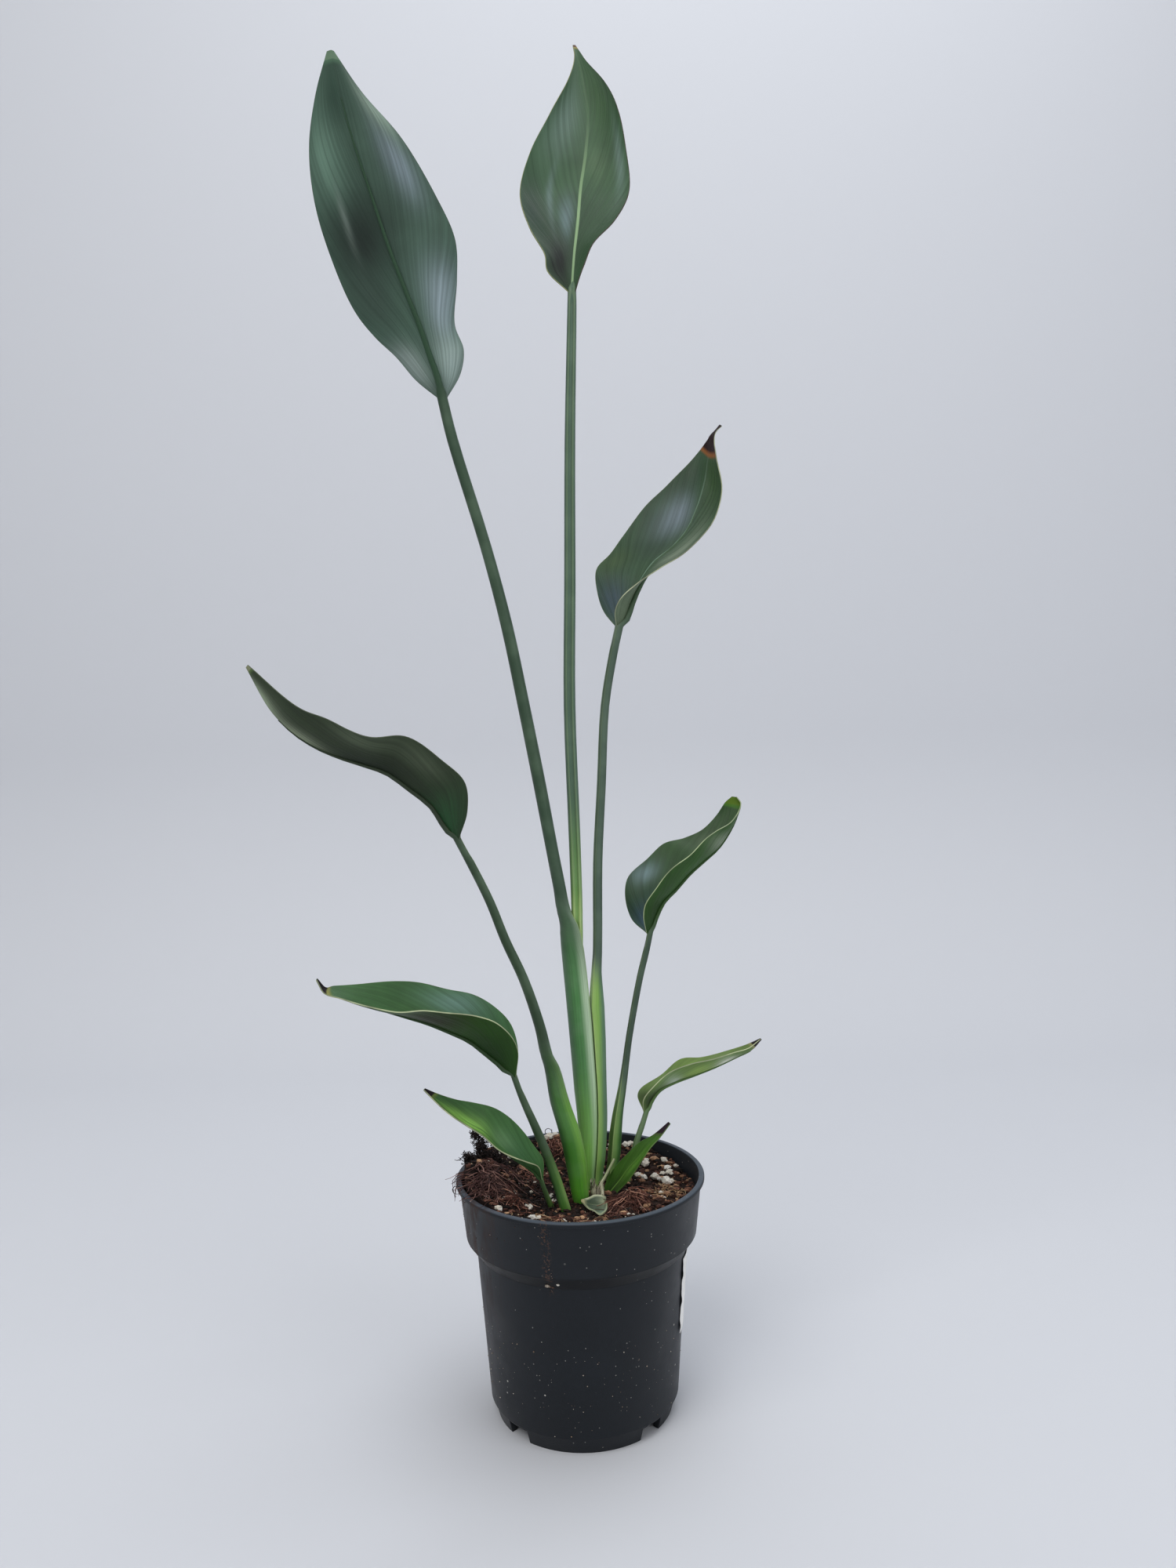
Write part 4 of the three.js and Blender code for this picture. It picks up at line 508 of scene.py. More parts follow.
# Clumps of coir: kind, x, y, spread across, spread in depth, strands, shortest, longest, curl,
# how much they run down toward the viewer, and thickness of the mat
CLUMPS = [
    ("purple", -46, -16, 8, 14, 250, 10, 22, 0.6, 1.2, 3.2),
    ("purple", -40, 6, 7, 8, 70, 8, 18, 0.7, 0.5, 2.0),
    ("red", -33, -31, 4.5, 4.5, 84, 6, 12, 0.6, 1.3, 2.8),
    ("red", 24, -23, 8.5, 7, 170, 9, 18, 0.45, 1.5, 5.0),
    ("purple", 18, -28, 7, 5, 60, 6, 12, 0.7, 0.7, 1.6),
    ("red", -13, 47, 8, 7, 110, 6, 13, 0.8, 0.8, 1.6),
    ("tan", 45, -8, 9, 14, 130, 4, 9, 0.8, 0.4, 0.9),
    ("tan", -4, -42, 26, 6, 80, 4, 9, 0.9, 0.4, 0.6),
    ("red", -10, -42, 16, 5, 70, 4, 9, 0.9, 0.4, 0.8),
    ("dark", -22, -10, 13, 15, 150, 6, 14, 0.9, 0.4, 1.8),
    ("red", -24, 16, 10, 9, 60, 5, 11, 0.8, 0.5, 1.0),
    ("dark", 30, 20, 20, 22, 70, 5, 11, 0.9, 0.2, 0.8),
]

# Lamps: name, place and size in metres, power as a share of the key light's, and colour
LAMPS = [
    ("key_light", (-0.75, -1.25, 1.75), 1.5, 1.0, (1.0, 0.985, 0.96)),
    ("top_light", (0.25, 0.15, 2.1), 1.6, 0.8, (0.94, 0.97, 1.0)),
    ("fill_light", (1.3, -1.0, 0.9), 1.4, 0.35, (0.97, 0.98, 1.0)),
]
LAMPS_AIM = (0, 0, 0.35)
ROOM_COLOUR = (0.93, 0.95, 1.0, 1)
ROOM_STRENGTH = 0.36
# Camera: place in metres, and how far it dips and rolls in degrees
CAMERA_PLACE = (0.0087, -0.5905, 0.3483)
CAMERA_DIP = 2.13
CAMERA_ROLL = -1.3
# Curve from the floor to the backdrop, in metres, its steps and the height of the backdrop above it
SWEEP_RADIUS = 0.35
SWEEP_STEPS = 14
BACKDROP_RISE = 3


def linear(hex_code):
    """Linear RGBA of a colour written as sRGB hex digits."""
    channels = [int(hex_code[start:start + 2], 16) / 255 for start in (0, 2, 4)]
    return tuple(c / 12.92 if c <= 0.04045 else ((c + 0.055) / 1.055) ** 2.4 for c in channels) + (1.0,)


def smoothstep(low, high, value):
    """Smooth rise from 0 at low to 1 at high."""
    t = np.clip((value - low) / (high - low), 0, 1)
    return t * t * (3 - 2 * t)


def mix(low, high, amount):
    """Value between two others."""
    return low + (high - low) * amount


def unit(vectors):
    """The same directions with length 1."""
    return vectors / np.maximum(np.linalg.norm(vectors, axis=-1, keepdims=True), 1e-9)


def smooth_through(stations, fractions):
    """Points of a smooth centripetal curve through the stations, which lie at even fractions."""
    stations = np.array(stations, float)
    position = np.clip(fractions, 0, 1) * (len(stations) - 1)
    index = np.minimum(position.astype(int), len(stations) - 2)
    weight = (position - index)[:, None]
    ends = (2 * stations[0] - stations[1], 2 * stations[-1] - stations[-2])
    padded = np.vstack([ends[0], stations, ends[1]])
    p0, p1, p2, p3 = (padded[index + step] for step in range(4))
    d0, d1, d2 = (np.maximum(np.linalg.norm(b - a, axis=1, keepdims=True), 1e-4) ** 0.5
                  for a, b in ((p0, p1), (p1, p2), (p2, p3)))
    start = ((p1 - p0) / d0 - (p2 - p0) / (d0 + d1) + (p2 - p1) / d1) * d1
    end = ((p2 - p1) / d1 - (p3 - p1) / (d1 + d2) + (p3 - p2) / d2) * d1
    bend = -3 * p1 + 3 * p2 - 2 * start - end
    swing = 2 * p1 - 2 * p2 + start + end
    return p1 + start * weight + bend * weight ** 2 + swing * weight ** 3


def lumps(x, y, size):
    """Smooth lumps from the fixed pattern of the solids, between -1 and 1."""
    def value(i, j):
        wave = np.sin(i * 127.1 + j * 311.7) * 43758.5453
        return 2 * (wave - np.floor(wave)) - 1
    column = np.floor(x / size)
    row = np.floor(y / size)
    u = smoothstep(0, 1, x / size - column)
    v = smoothstep(0, 1, y / size - row)
    low = mix(value(column, row), value(column + 1, row), u)
    high = mix(value(column, row + 1), value(column + 1, row + 1), u)
    return mix(low, high, v)


def soil_height(x, y):
    """Height of the soil's surface, with the heap at the left, before its fine relief."""
    radius = np.hypot(x, y)
    edge = 3.2 * smoothstep(25, 60, radius)
    left_heap = 7.5 * smoothstep(18, 50, -x)
    back_rise = 2 * smoothstep(20, 55, y)
    right_dip = -3.4 * smoothstep(38, 60, x)
    crown_flat = smoothstep(16, 34, np.hypot(x - 5, y + 6))
    relief = (1.0 * lumps(x, y, 8) + 0.6 * lumps(x + 50, y - 20, 4.5)) * (0.25 + 0.75 * crown_flat)
    crest = 5 * np.exp(-((x + 50) ** 2 + (y + 2) ** 2) / (2 * 12 ** 2))
    mounds = sum(height * np.exp(-((x - at_x) ** 2 + (y - at_y) ** 2) / (2 * spread ** 2))
                 for at_x, at_y, height, spread in MOUNDS)
    return SOIL_LEVEL + edge + left_heap + back_rise + right_dip + relief + crest + mounds


def pot_inner_radius(z, pot):
    """Radius of the pot's inner face at a height."""
    if z > COLLAR_LOW_Z + INNER_RISE:
        share = (z - COLLAR_LOW_Z - INNER_RISE) / (pot.height - COLLAR_LOW_Z - INNER_RISE)
        return mix(COLLAR_LOW_RADIUS, COLLAR_TOP_RADIUS + 0.2, share) - pot.wall
    if z > BODY_TOP_Z + INNER_RISE:
        share = (z - BODY_TOP_Z - INNER_RISE) / (COLLAR_LOW_Z - BODY_TOP_Z)
        return mix(BODY_TOP_RADIUS, COLLAR_LOW_RADIUS, share) - pot.wall
    share = (z - FOOT_STEP_Z) / (BODY_TOP_Z + INNER_RISE - FOOT_STEP_Z)
    return mix(BODY_LOW_RADIUS, BODY_TOP_RADIUS, share) - pot.wall


def pot_outer_radius(z):
    """Radius of the pot's outer face below the lip."""
    if z > COLLAR_LOW_Z:
        return mix(COLLAR_LOW_RADIUS, COLLAR_TOP_RADIUS, (z - COLLAR_LOW_Z) / 27)
    if z > BODY_TOP_Z:
        return mix(BODY_TOP_RADIUS, COLLAR_LOW_RADIUS, (z - BODY_TOP_Z) / (COLLAR_LOW_Z - BODY_TOP_Z))
    return mix(BODY_LOW_RADIUS, BODY_TOP_RADIUS, (z - FOOT_STEP_Z) / (BODY_TOP_Z - FOOT_STEP_Z))


# Modelling helpers

def deselect_all():
    """Goes back to object mode with nothing selected."""
    if bpy.context.mode != "OBJECT":
        bpy.ops.object.mode_set(mode="OBJECT")
    bpy.ops.object.select_all(action="DESELECT")


def new_object(name):
    """Names the primitive that was just added and returns it."""
    made = bpy.context.object
    made.name = name
    made.data.name = name
    return made


def choose(piece):
    """Selects one piece alone and makes it active."""
    deselect_all()
    piece.select_set(True)
    bpy.context.view_layer.objects.active = piece


def edit(piece, select="SELECT"):
    """Goes into edit mode on one piece with all of it selected, or none."""
    choose(piece)
    bpy.ops.object.mode_set(mode="EDIT")
    bpy.ops.mesh.select_all(action=select)


def place_mesh(piece):
    """Leaves the object at the origin, unturned and unscaled, with its place in its mesh."""
    choose(piece)
    bpy.ops.object.transform_apply(location=True, rotation=True, scale=True)


def move_vertices(piece, points):
    """Moves every vertex to its point, given in the units of the mesh."""
    piece.data.vertices.foreach_set("co", np.asarray(points).astype(np.float32).ravel())
    piece.data.update()


def shape(piece, points):
    """Moves every vertex to its point, given in millimetres."""
    move_vertices(piece, np.asarray(points) * MM)


def points_of(piece):
    """Every vertex of a piece, in the units of its mesh."""
    flat = np.zeros(len(piece.data.vertices) * 3, np.float32)
    piece.data.vertices.foreach_get("co", flat)
    return flat.reshape(-1, 3).astype(float)


def store(piece, name, values, kind="FLOAT"):
    """Keeps one value for each vertex in a named attribute."""
    attribute = piece.data.attributes.new(name, kind, "POINT")
    field = "vector" if kind == "FLOAT_VECTOR" else "value"
    attribute.data.foreach_set(field, np.asarray(values, np.float32).ravel())


def finish_with(piece, kind, **settings):
    """Adds a modifier with its settings and applies it."""
    choose(piece)
    modifier = piece.modifiers.new(kind.title(), kind)
    for name, value in settings.items():
        setattr(modifier, name, value)
    bpy.ops.object.modifier_apply(modifier=modifier.name)


def smooth(piece, degrees=40):
    """Shades a piece smooth, except where its faces turn by more than the angle."""
    choose(piece)
    bpy.ops.object.shade_smooth_by_angle(angle=math.radians(degrees))


def join(first, *others):
    """Joins pieces into the first one."""
    choose(first)
    for other in others:
        other.select_set(True)
    bpy.ops.object.join()


def adopt(piece, slot, *nodes, material=None):
    """Makes a piece part of the plant: it rides on the root and stands for the given solids."""
    if material:
        piece.data.materials.append(material)
    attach(piece, "root")
    if nodes:
        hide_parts(*nodes)


def face_outwards(piece):
    """Turns every face of a closed piece outwards."""
    edit(piece)
    bpy.ops.mesh.normals_make_consistent(inside=False)
    bpy.ops.object.mode_set(mode="OBJECT")


def pick_open_edges(piece):
    """Goes into edit mode on one piece with only its open edges selected."""
    edit(piece, "DESELECT")
    bpy.ops.mesh.select_mode(type="EDGE")
    bpy.ops.mesh.select_non_manifold(extend=False, use_wire=False, use_boundary=True,
                                     use_multi_face=False, use_non_contiguous=False, use_verts=False)


def fill_open_rings(piece):
    """Closes every open end of a tube with one face."""
    pick_open_edges(piece)
    bpy.ops.mesh.edge_face_add()
    face_outwards(piece)


def merge_seam(piece):
    """Merges the first and last column of a grid that was rolled into a tube."""
    edit(piece)
    bpy.ops.mesh.remove_doubles(threshold=SEAM_REACH * MM)
    face_outwards(piece)


def sheet_grid(name, rows, columns):
    """A flat grid, and for each vertex its fraction along and its place across from -1 to 1."""
    deselect_all()
    bpy.ops.mesh.primitive_grid_add(x_subdivisions=rows, y_subdivisions=columns, size=2)
    piece = new_object(name)
    flat = points_of(piece)
    return piece, (flat[:, 0] + 1) / 2, flat[:, 1]


def turned_shell(name, profile, sides):
    """A circle extruded from ring to ring along a profile of radius and height, then closed."""
    deselect_all()
    radius, height = profile[0]
    bpy.ops.mesh.primitive_circle_add(vertices=sides, radius=radius * MM, location=(0, 0, height * MM))
    piece = new_object(name)
    edit(piece)
    for next_radius, next_height in profile[1:]:
        climb = (0, 0, (next_height - height) * MM)
        bpy.ops.mesh.extrude_edges_move(TRANSFORM_OT_translate={"value": climb})
        bpy.ops.transform.resize(value=(next_radius / radius, next_radius / radius, 1))
        radius, height = next_radius, next_height
    place_mesh(piece)
    fill_open_rings(piece)
    return piece


# Node helpers. A socket knows its own tree, so only a chain's first node is given one.

def wire(node, inputs):
    """Links each input that is given as a socket, and sets the others."""
    for name, value in inputs.items():
        if isinstance(value, bpy.types.NodeSocket):
            node.id_data.links.new(value, node.inputs[name])
        else:
            node.inputs[name].default_value = value


def add(tree, kind, inputs=None, **settings):
    """Adds a node, sets its options, and links or sets its inputs."""
    node = tree.nodes.new(kind)
    for name, value in settings.items():
        setattr(node, name, value)
    wire(node, inputs or {})
    return node


def tree_of(*values):
    """Node tree of the first socket among the values."""
    return next(value.id_data for value in values if isinstance(value, bpy.types.NodeSocket))


def maths(operation, first, second=0.0, clamp=False):
    """One Math node on sockets or numbers."""
    tree = tree_of(first, second)
    return add(tree, "ShaderNodeMath", {0: first, 1: second}, operation=operation, use_clamp=clamp).outputs[0]


def plus(first, second):
    return maths("ADD", first, second)


def minus(first, second):
    return maths("SUBTRACT", first, second)


def times(first, second):
    return maths("MULTIPLY", first, second)


def colour_mix(amount, first, second):
    """First colour where the amount is 0 and second where it is 1. Hex digits are read as sRGB."""
    first, second = (linear(colour) if isinstance(colour, str) else colour for colour in (first, second))
    return add(amount.id_data, "ShaderNodeMix", {0: amount, 6: first, 7: second}, data_type="RGBA").outputs[2]


def rise(value, low, high, from_value=0.0, to_value=1.0):
    """Smooth ramp of a value between two limits."""
    inputs = {0: value, 1: low, 2: high, 3: from_value, 4: to_value}
    return add(value.id_data, "ShaderNodeMapRange", inputs, interpolation_type="SMOOTHSTEP").outputs[0]


def noise_value(vector, scale, detail=3.0, roughness=0.5):
    """Noise from 0 to 1 at a place. The scale is for each metre, or each unit of the vector."""
    inputs = {"Vector": vector, "Scale": scale, "Detail": detail, "Roughness": roughness}
    return add(vector.id_data, "ShaderNodeTexNoise", inputs).outputs[0]


def object_place(tree):
    """Place of each point in the piece, in metres."""
    return add(tree, "ShaderNodeTexCoord").outputs["Object"]


def attribute(tree, name, output="Fac"):
    """A value that store kept on the piece."""
    return add(tree, "ShaderNodeAttribute", attribute_name=name).outputs[output]


def parts_of(vector):
    """The three parts of a vector."""
    return tuple(add(vector.id_data, "ShaderNodeSeparateXYZ", {0: vector}).outputs)


def vector_of(*parts):
    """A vector of the given parts."""
    return add(tree_of(*parts), "ShaderNodeCombineXYZ", dict(enumerate(parts))).outputs[0]


def ramp_colour(value, stops):
    """Colour of a value along stops of position and hex digits."""
    ramp = add(value.id_data, "ShaderNodeValToRGB", {0: value})
    elements = ramp.color_ramp.elements
    while len(elements) < len(stops):
        elements.new(0.5)
    for element, (position, hex_code) in zip(elements, stops):
        element.position = position
        element.color = linear(hex_code)
    return ramp.outputs[0]


def bump(height, depth, strength=1.0):
    """Normal of a height from 0 to 1 that is depth metres deep."""
    inputs = {"Strength": strength, "Distance": depth, "Height": height}
    return add(height.id_data, "ShaderNodeBump", inputs).outputs[0]


def drive(shader, **values):
    """Sets a shader's sockets to constants or to what nodes give. An underscore stands for a space."""
    wire(shader, {name.replace("_", " "): value for name, value in values.items()})


def new_material(name, **constants):
    """A material, its node tree and its Principled shader with constants on its own sockets."""
    material = bpy.data.materials.new(name)
    material.use_nodes = True
    shader = material.node_tree.nodes["Principled BSDF"]
    drive(shader, **constants)
    return material, material.node_tree, shader


def new_group(name, inputs, outputs):
    """An empty node group with float inputs, given with their defaults, and float outputs."""
    tree = bpy.data.node_groups.new(name, "ShaderNodeTree")
    for label, value in inputs.items():
        socket = tree.interface.new_socket(label, in_out="INPUT", socket_type="NodeSocketFloat")
        socket.default_value = value
    for label in outputs:
        tree.interface.new_socket(label, in_out="OUTPUT", socket_type="NodeSocketFloat")
    return tree, tree.nodes.new("NodeGroupInput").outputs, tree.nodes.new("NodeGroupOutput").inputs


def use_group(tree, group, inputs):
    """Places a node group and returns its outputs."""
    return add(tree, "ShaderNodeGroup", inputs, node_tree=group).outputs


def leaf_map_group():
    """Where a point lies on its blade, and the streaks and fine veins that sweep up from the midrib."""
    if "Leaf map" in bpy.data.node_groups:
        return bpy.data.node_groups["Leaf map"]
    names = ("Along", "Across", "Edge", "Midrib", "Broad", "Fine")
    tree, given, result = new_group("Leaf map", {"Sweep": 60.0, "Vein gap": VEIN_GAP}, names)
    along, across, half_width = parts_of(attribute(tree, "leaf_place", "Vector"))
    reach = maths("ABSOLUTE", across)
    swept = minus(along, times(given["Sweep"], maths("POWER", reach, 0.8)))
    half = times(maths("SIGN", across), HALVES_APART)
    veins = vector_of(maths("DIVIDE", swept, given["Vein gap"]), half, times(along, VEIN_DRIFT))
    values = (
        along, across, times(minus(1.0, reach), half_width), times(reach, half_width),
        noise_value(veins, 0.16, 2.0), noise_value(veins, 1.0, 2.0, 0.6),
    )
    for name, value in zip(names, values):
        tree.links.new(value, result[name])
    return tree


def speck_group():
    """Small scattered specks: a mask that is 1 on each speck, in the given share of the cells."""
    if "Specks" in bpy.data.node_groups:
        return bpy.data.node_groups["Specks"]
    tree, given, result = new_group("Specks", {"Per metre": 300.0, "Size": 0.2, "Share": 0.1}, ("Mask",))
    inputs = {"Vector": object_place(tree), "Scale": given["Per metre"]}
    cells = add(tree, "ShaderNodeTexVoronoi", inputs, feature="F1")
    near = maths("LESS_THAN", cells.outputs["Distance"], given["Size"])
    lot = add(tree, "ShaderNodeSeparateColor", {0: cells.outputs["Color"]}).outputs[0]
    tree.links.new(times(near, maths("LESS_THAN", lot, given["Share"])), result["Mask"])
    return tree


def specks(tree, per_metre, size, share):
    """Mask of the specks at a density, size and share."""
    return use_group(tree, speck_group(), {"Per metre": per_metre, "Size": size, "Share": share})["Mask"]


# Materials

def patch_amount(place, length, along, across, reach_along, reach_across, strength):
    """How strongly an oval patch of a blade covers each point."""
    lengthwise = maths("DIVIDE", minus(place["Along"], along * length), reach_along * length)
    crosswise = maths("DIVIDE", minus(place["Across"], across), reach_across)
    away = plus(times(lengthwise, lengthwise), times(crosswise, crosswise))
    feathered = plus(away, times(minus(0.5, place["Broad"]), PATCH_FEATHER))
    return maths("MULTIPLY", maths("EXPONENT", times(feathered, -PATCH_FALL)), strength, True)


def edge_colour(place, look):
    """Colour of the nearer margin on its half of a blade, and of the far margin on the other."""
    near, far = look["margin"]
    return colour_mix(maths("GREATER_THAN", place["Across"], 0.0), near, far)


def leaf_material(name, face, look, length):
    """One face of a blade: its colour with streaks, patches, midrib, margin line and tip."""
    material, tree, shader = new_material(f"{name}_{face}", Specular_IOR_Level=0.2)
    place = use_group(tree, leaf_map_group(), {"Sweep": look["sweep"] * length, "Vein gap": VEIN_GAP})
    base = linear(look[face])
    dark = tuple(0.7 * channel for channel in base[:3]) + (1.0,)
    mottle = noise_value(object_place(tree), 26.0)
    colour = colour_mix(rise(mottle, 0.3, 0.6), dark, base)
    # Painted sheen, reflections, glow and shade in patches, over the leaf's own colour
    for hex_code, *spot in look["patches"]:
        colour = colour_mix(patch_amount(place, length, *spot), colour, hex_code)
    # Streaks lighten and darken the colour that is there
    gain = plus(rise(place["Broad"], 0.25, 0.75, 0.84, 1.16), rise(place["Fine"], 0.3, 0.7, -0.05, 0.09))
    colour = add(tree, "ShaderNodeVectorMath", {0: colour, 3: gain}, operation="SCALE").outputs[0]
    stripe, width, fade = look["midrib"]
    width *= MIDRIB_SHARE[face]
    still = rise(place["Along"], 0.35 * fade * length, fade * length, 1.0, 0.08)
    midrib = times(rise(place["Midrib"], 0.45 * width, width, 1.0, 0.0), still)
    colour = colour_mix(midrib, colour, stripe)
    rim = rise(place["Edge"], 0.0, look.get("rim", 0.3), 0.75, 0.0)
    colour = colour_mix(rim, colour, edge_colour(place, look))
    tip, tip_length, band = look["tip"]
    ragged = plus(minus(length, place["Along"]), times(minus(mottle, 0.5), 5.0))
    colour = colour_mix(rise(ragged, tip_length, tip_length + TIP_BAND, 0.9, 0.0), colour, band)
    colour = colour_mix(rise(ragged, 0.85 * tip_length, tip_length, 1.0, 0.0), colour, tip)
    relief = plus(plus(times(place["Fine"], 0.5), place["Broad"]), times(midrib, 0.8))
    rough = rise(place["Broad"], 0.3, 0.7, *BLADE_ROUGHNESS[face])
    drive(shader, Base_Color=colour, Normal=bump(relief, 0.0005, 0.5), Roughness=rough)
    return material


def margin_material(name, look):
    """The thin rim of a blade, in its near and far margin's colours."""
    material, tree, shader = new_material(f"{name}_margin", Roughness=0.5)
    place = use_group(tree, leaf_map_group(), {"Vein gap": VEIN_GAP})
    shade = rise(noise_value(object_place(tree), 90.0, 2.0), 0.35, 0.65, 0.55, 0.0)
    drive(shader, Base_Color=colour_mix(shade, edge_colour(place, look), (0.03, 0.04, 0.02, 1)))
    return material


def stalk_material(name, look, mouth):
    """A stalk: grey green above with painted shade on its left, fresh in its sheath and at its foot, where
    the foot is also brightened as painted light, with painted shade and highlight on its two flanks, pale
    toward the sheath's edges, partly as painted light, and dark along the keel."""
    material, tree, shader = new_material(f"{name}_stalk", Roughness=0.42, Specular_IOR_Level=0.3)
    height, edge, around = parts_of(attribute(tree, "stalk_place", "Vector"))
    flank = attribute(tree, "flank")
    # Fibres run up the stalk, so the noise is fine around it and long along it
    grain = noise_value(vector_of(times(around, 26.0), times(height, 0.02)), 1.0, 3.0, 0.6)
    mottle = noise_value(object_place(tree), 60.0)
    full, none = look["fresh"]
    ripe = rise(height, full, none, 1.0, 0.0)
    # Painted shade and highlight: each flank of the sheath takes its own colour by how far it faces left or
    # right
    left, right = look["flanks"]
    fresh = colour_mix(rise(flank, -0.9, -0.1, 1.0, 0.0), look["sheath"], left)
    lit = rise(flank, 0.1, 0.85)
    fresh = colour_mix(lit, fresh, right)
    # The foot is the sheath's fresh green, brightened as painted light against the shade low between the
    # sheaths, less on the lit flank
    foot, low, high = look["foot"]
    footed = times(rise(height, low, high, 0.8, 0.0), rise(lit, 0.0, 1.0, 1.0, 0.5))
    fresh = colour_mix(footed, fresh, foot)
    # Painted shade darkens the left flank of the stalk above the sheath
    shaded_stem = colour_mix(rise(flank, -0.95, 0.2, 0.3, 0.0), look["stalk"], "16241a")
    colour = colour_mix(ripe, shaded_stem, fresh)
    streak, strength = look.get("streak", ("2a4428", 0.22))
    colour = colour_mix(rise(grain, 0.4, 0.62, 0.0, strength), colour, streak)
    colour = colour_mix(rise(mottle, 0.4, 0.7, 0.0, 0.12), colour, "8ea88a")
    # The edge of a sheath is pale, with a thin line along its lip; the wide pale band is also painted light
    # that lifts the shade where the sheaths meet
    sheathed = rise(height, mouth - 6, mouth + 12, 1.0, 0.2)
    pale = colour_mix(ripe, "84998a", "a8c47c")
    colour = colour_mix(times(rise(edge, 0.3, 4.0, 0.5, 0.0), sheathed), colour, pale)
    colour = colour_mix(times(rise(edge, 0.2, 0.7, 0.45, 0.0), sheathed), colour, "b9d088")
    colour = colour_mix(attribute(tree, "keel"), colour, look["keel"])
    drive(shader, Base_Color=colour, Normal=bump(grain, 0.0004, 0.35))
    return material


def pot_material(pot):
    """Charcoal plastic with soil film at the left, a streak of spilled soil and pale specks, painted shade in
    the step under the collar and a painted highlight along the lip.
    """
    material, tree, shader = new_material("pot_plastic", Specular_IOR_Level=0.2)
    place = object_place(tree)
    x, y, z = parts_of(place)
    base = tuple(pot.colour) + (1.0,)
    worn = tuple(1.7 * channel for channel in pot.colour) + (1.0,)
    cloud = noise_value(place, 35.0, 4.0, 0.6)
    colour = colour_mix(rise(cloud, 0.35, 0.75, 0.0, 0.35), base, worn)
    # Painted shade darkens the step under the collar, and a painted highlight lightens the lip
    step = times(rise(z, 0.0852, 0.0865), rise(z, 0.0925, 0.0942, 0.75, 0.0))
    colour = colour_mix(step, colour, "07080a")
    colour = colour_mix(rise(z, 0.1213, 0.122, 0.0, 0.6), colour, "59636f")
    # Brown film of soil on the left of the collar
    stained = times(rise(x, -0.066, -0.03, 1.0, 0.0), rise(z, 0.03, 0.11, 0.15, 1.0))
    drawn_down = add(tree, "ShaderNodeMapping", {0: place, 3: (1.0, 1.0, 0.25)}).outputs[0]
    film = times(stained, rise(noise_value(drawn_down, 160.0, 4.0, 0.65), 0.4, 0.65))
    colour = colour_mix(times(film, pot.soil_film), colour, "4a3226")
    # Streak of spilled soil that runs down the front
    aside = maths("ABSOLUTE", minus(maths("ARCTAN2", y, x), math.radians(SPILL_AZIMUTH)))
    streak = times(rise(aside, 0.008, 0.055, 1.0, 0.0), rise(z, 0.078, 0.096))
    dirt = times(streak, rise(noise_value(place, 900.0, 2.0, 0.6), 0.54, 0.62, 0.0, 0.6))
    colour = colour_mix(dirt, colour, "5e463a")
    splashes = times(specks(tree, 260.0, 0.13, 0.07), rise(z, 0.045, 0.085, 0.8, 0.12))
    marks = maths("MAXIMUM", splashes, times(specks(tree, 700.0, 0.2, 0.03), 0.35))
    colour = colour_mix(marks, colour, "cfccc4")
    rough = plus(rise(cloud, 0.3, 0.7, 0.36, 0.5), times(maths("MAXIMUM", film, dirt), 0.35))
    relief = plus(noise_value(place, 1500.0, 2.0), times(dirt, 2.0))
    drive(shader, Base_Color=colour, Roughness=rough, Normal=bump(relief, 0.00012, 0.3))
    return material


def soil_material():
    """Dark peat and coir between the crumbs, darkened further as painted shade in the gaps among them."""
    material, tree, shader = new_material("soil_mix", Roughness=0.95, Specular_IOR_Level=0.25)
    place = object_place(tree)
    coarse = noise_value(place, 260.0, 6.0, 0.7)
    fine = noise_value(place, 900.0, 4.0, 0.7)
    stops = ((0.38, "0a0605"), (0.47, "1c110e"), (0.56, "35231d"), (0.66, "573a2e"), (0.78, "8d6a50"))
    colour = ramp_colour(plus(times(coarse, 0.6), times(fine, 0.4)), stops)
    drive(shader, Base_Color=colour, Normal=bump(plus(coarse, fine), 0.0012))
    return material


def tinted_material(name, hex_codes, roughness=0.85, grain=1200.0):
    """Crumbs, grains or fibres: a colour for each piece from its tint attribute, mottled."""
    material, tree, shader = new_material(name, Roughness=roughness, Specular_IOR_Level=0.3)
    stops = [(index / (len(hex_codes) - 1), hex_code) for index, hex_code in enumerate(hex_codes)]
    colour = ramp_colour(attribute(tree, "tint"), stops)
    mottle = noise_value(object_place(tree), grain, 2.0, 0.6)
    colour = colour_mix(rise(mottle, 0.3, 0.7, 0.55, 0.0), colour, (0.01, 0.007, 0.005, 1))
    drive(shader, Base_Color=colour, Normal=bump(mottle, 0.0003, 0.6))
    return material


def paper_material():
    """White paper with a few specks of soil."""
    material, tree, shader = new_material("label_paper", Roughness=0.55)
    place = object_place(tree)
    colour = colour_mix(rise(noise_value(place, 60.0), 0.3, 0.7), "f0efeb", "fcfbf8")
    colour = colour_mix(times(specks(tree, 400.0, 0.12, 0.05), 0.5), colour, "6a5548")
    drive(shader, Base_Color=colour, Normal=bump(noise_value(place, 1800.0, 2.0), 0.00005, 0.3))
    return material


def root_material():
    """Pale fleshy root."""
    material, tree, shader = new_material("root_tissue", Roughness=0.7)
    soft = noise_value(object_place(tree), 90.0, 4.0, 0.6)
    colour = colour_mix(rise(soft, 0.35, 0.65), "8b7450", "cdb98c")
    drive(shader, Base_Color=colour, Normal=bump(soft, 0.0008, 0.5))
    return material


# Sizes and colours that a user would change

def millimetres(name, meaning, default):
    """A length that a user may set."""
    return FloatProperty(name=name, description=f"{meaning}, in millimetres", default=default)


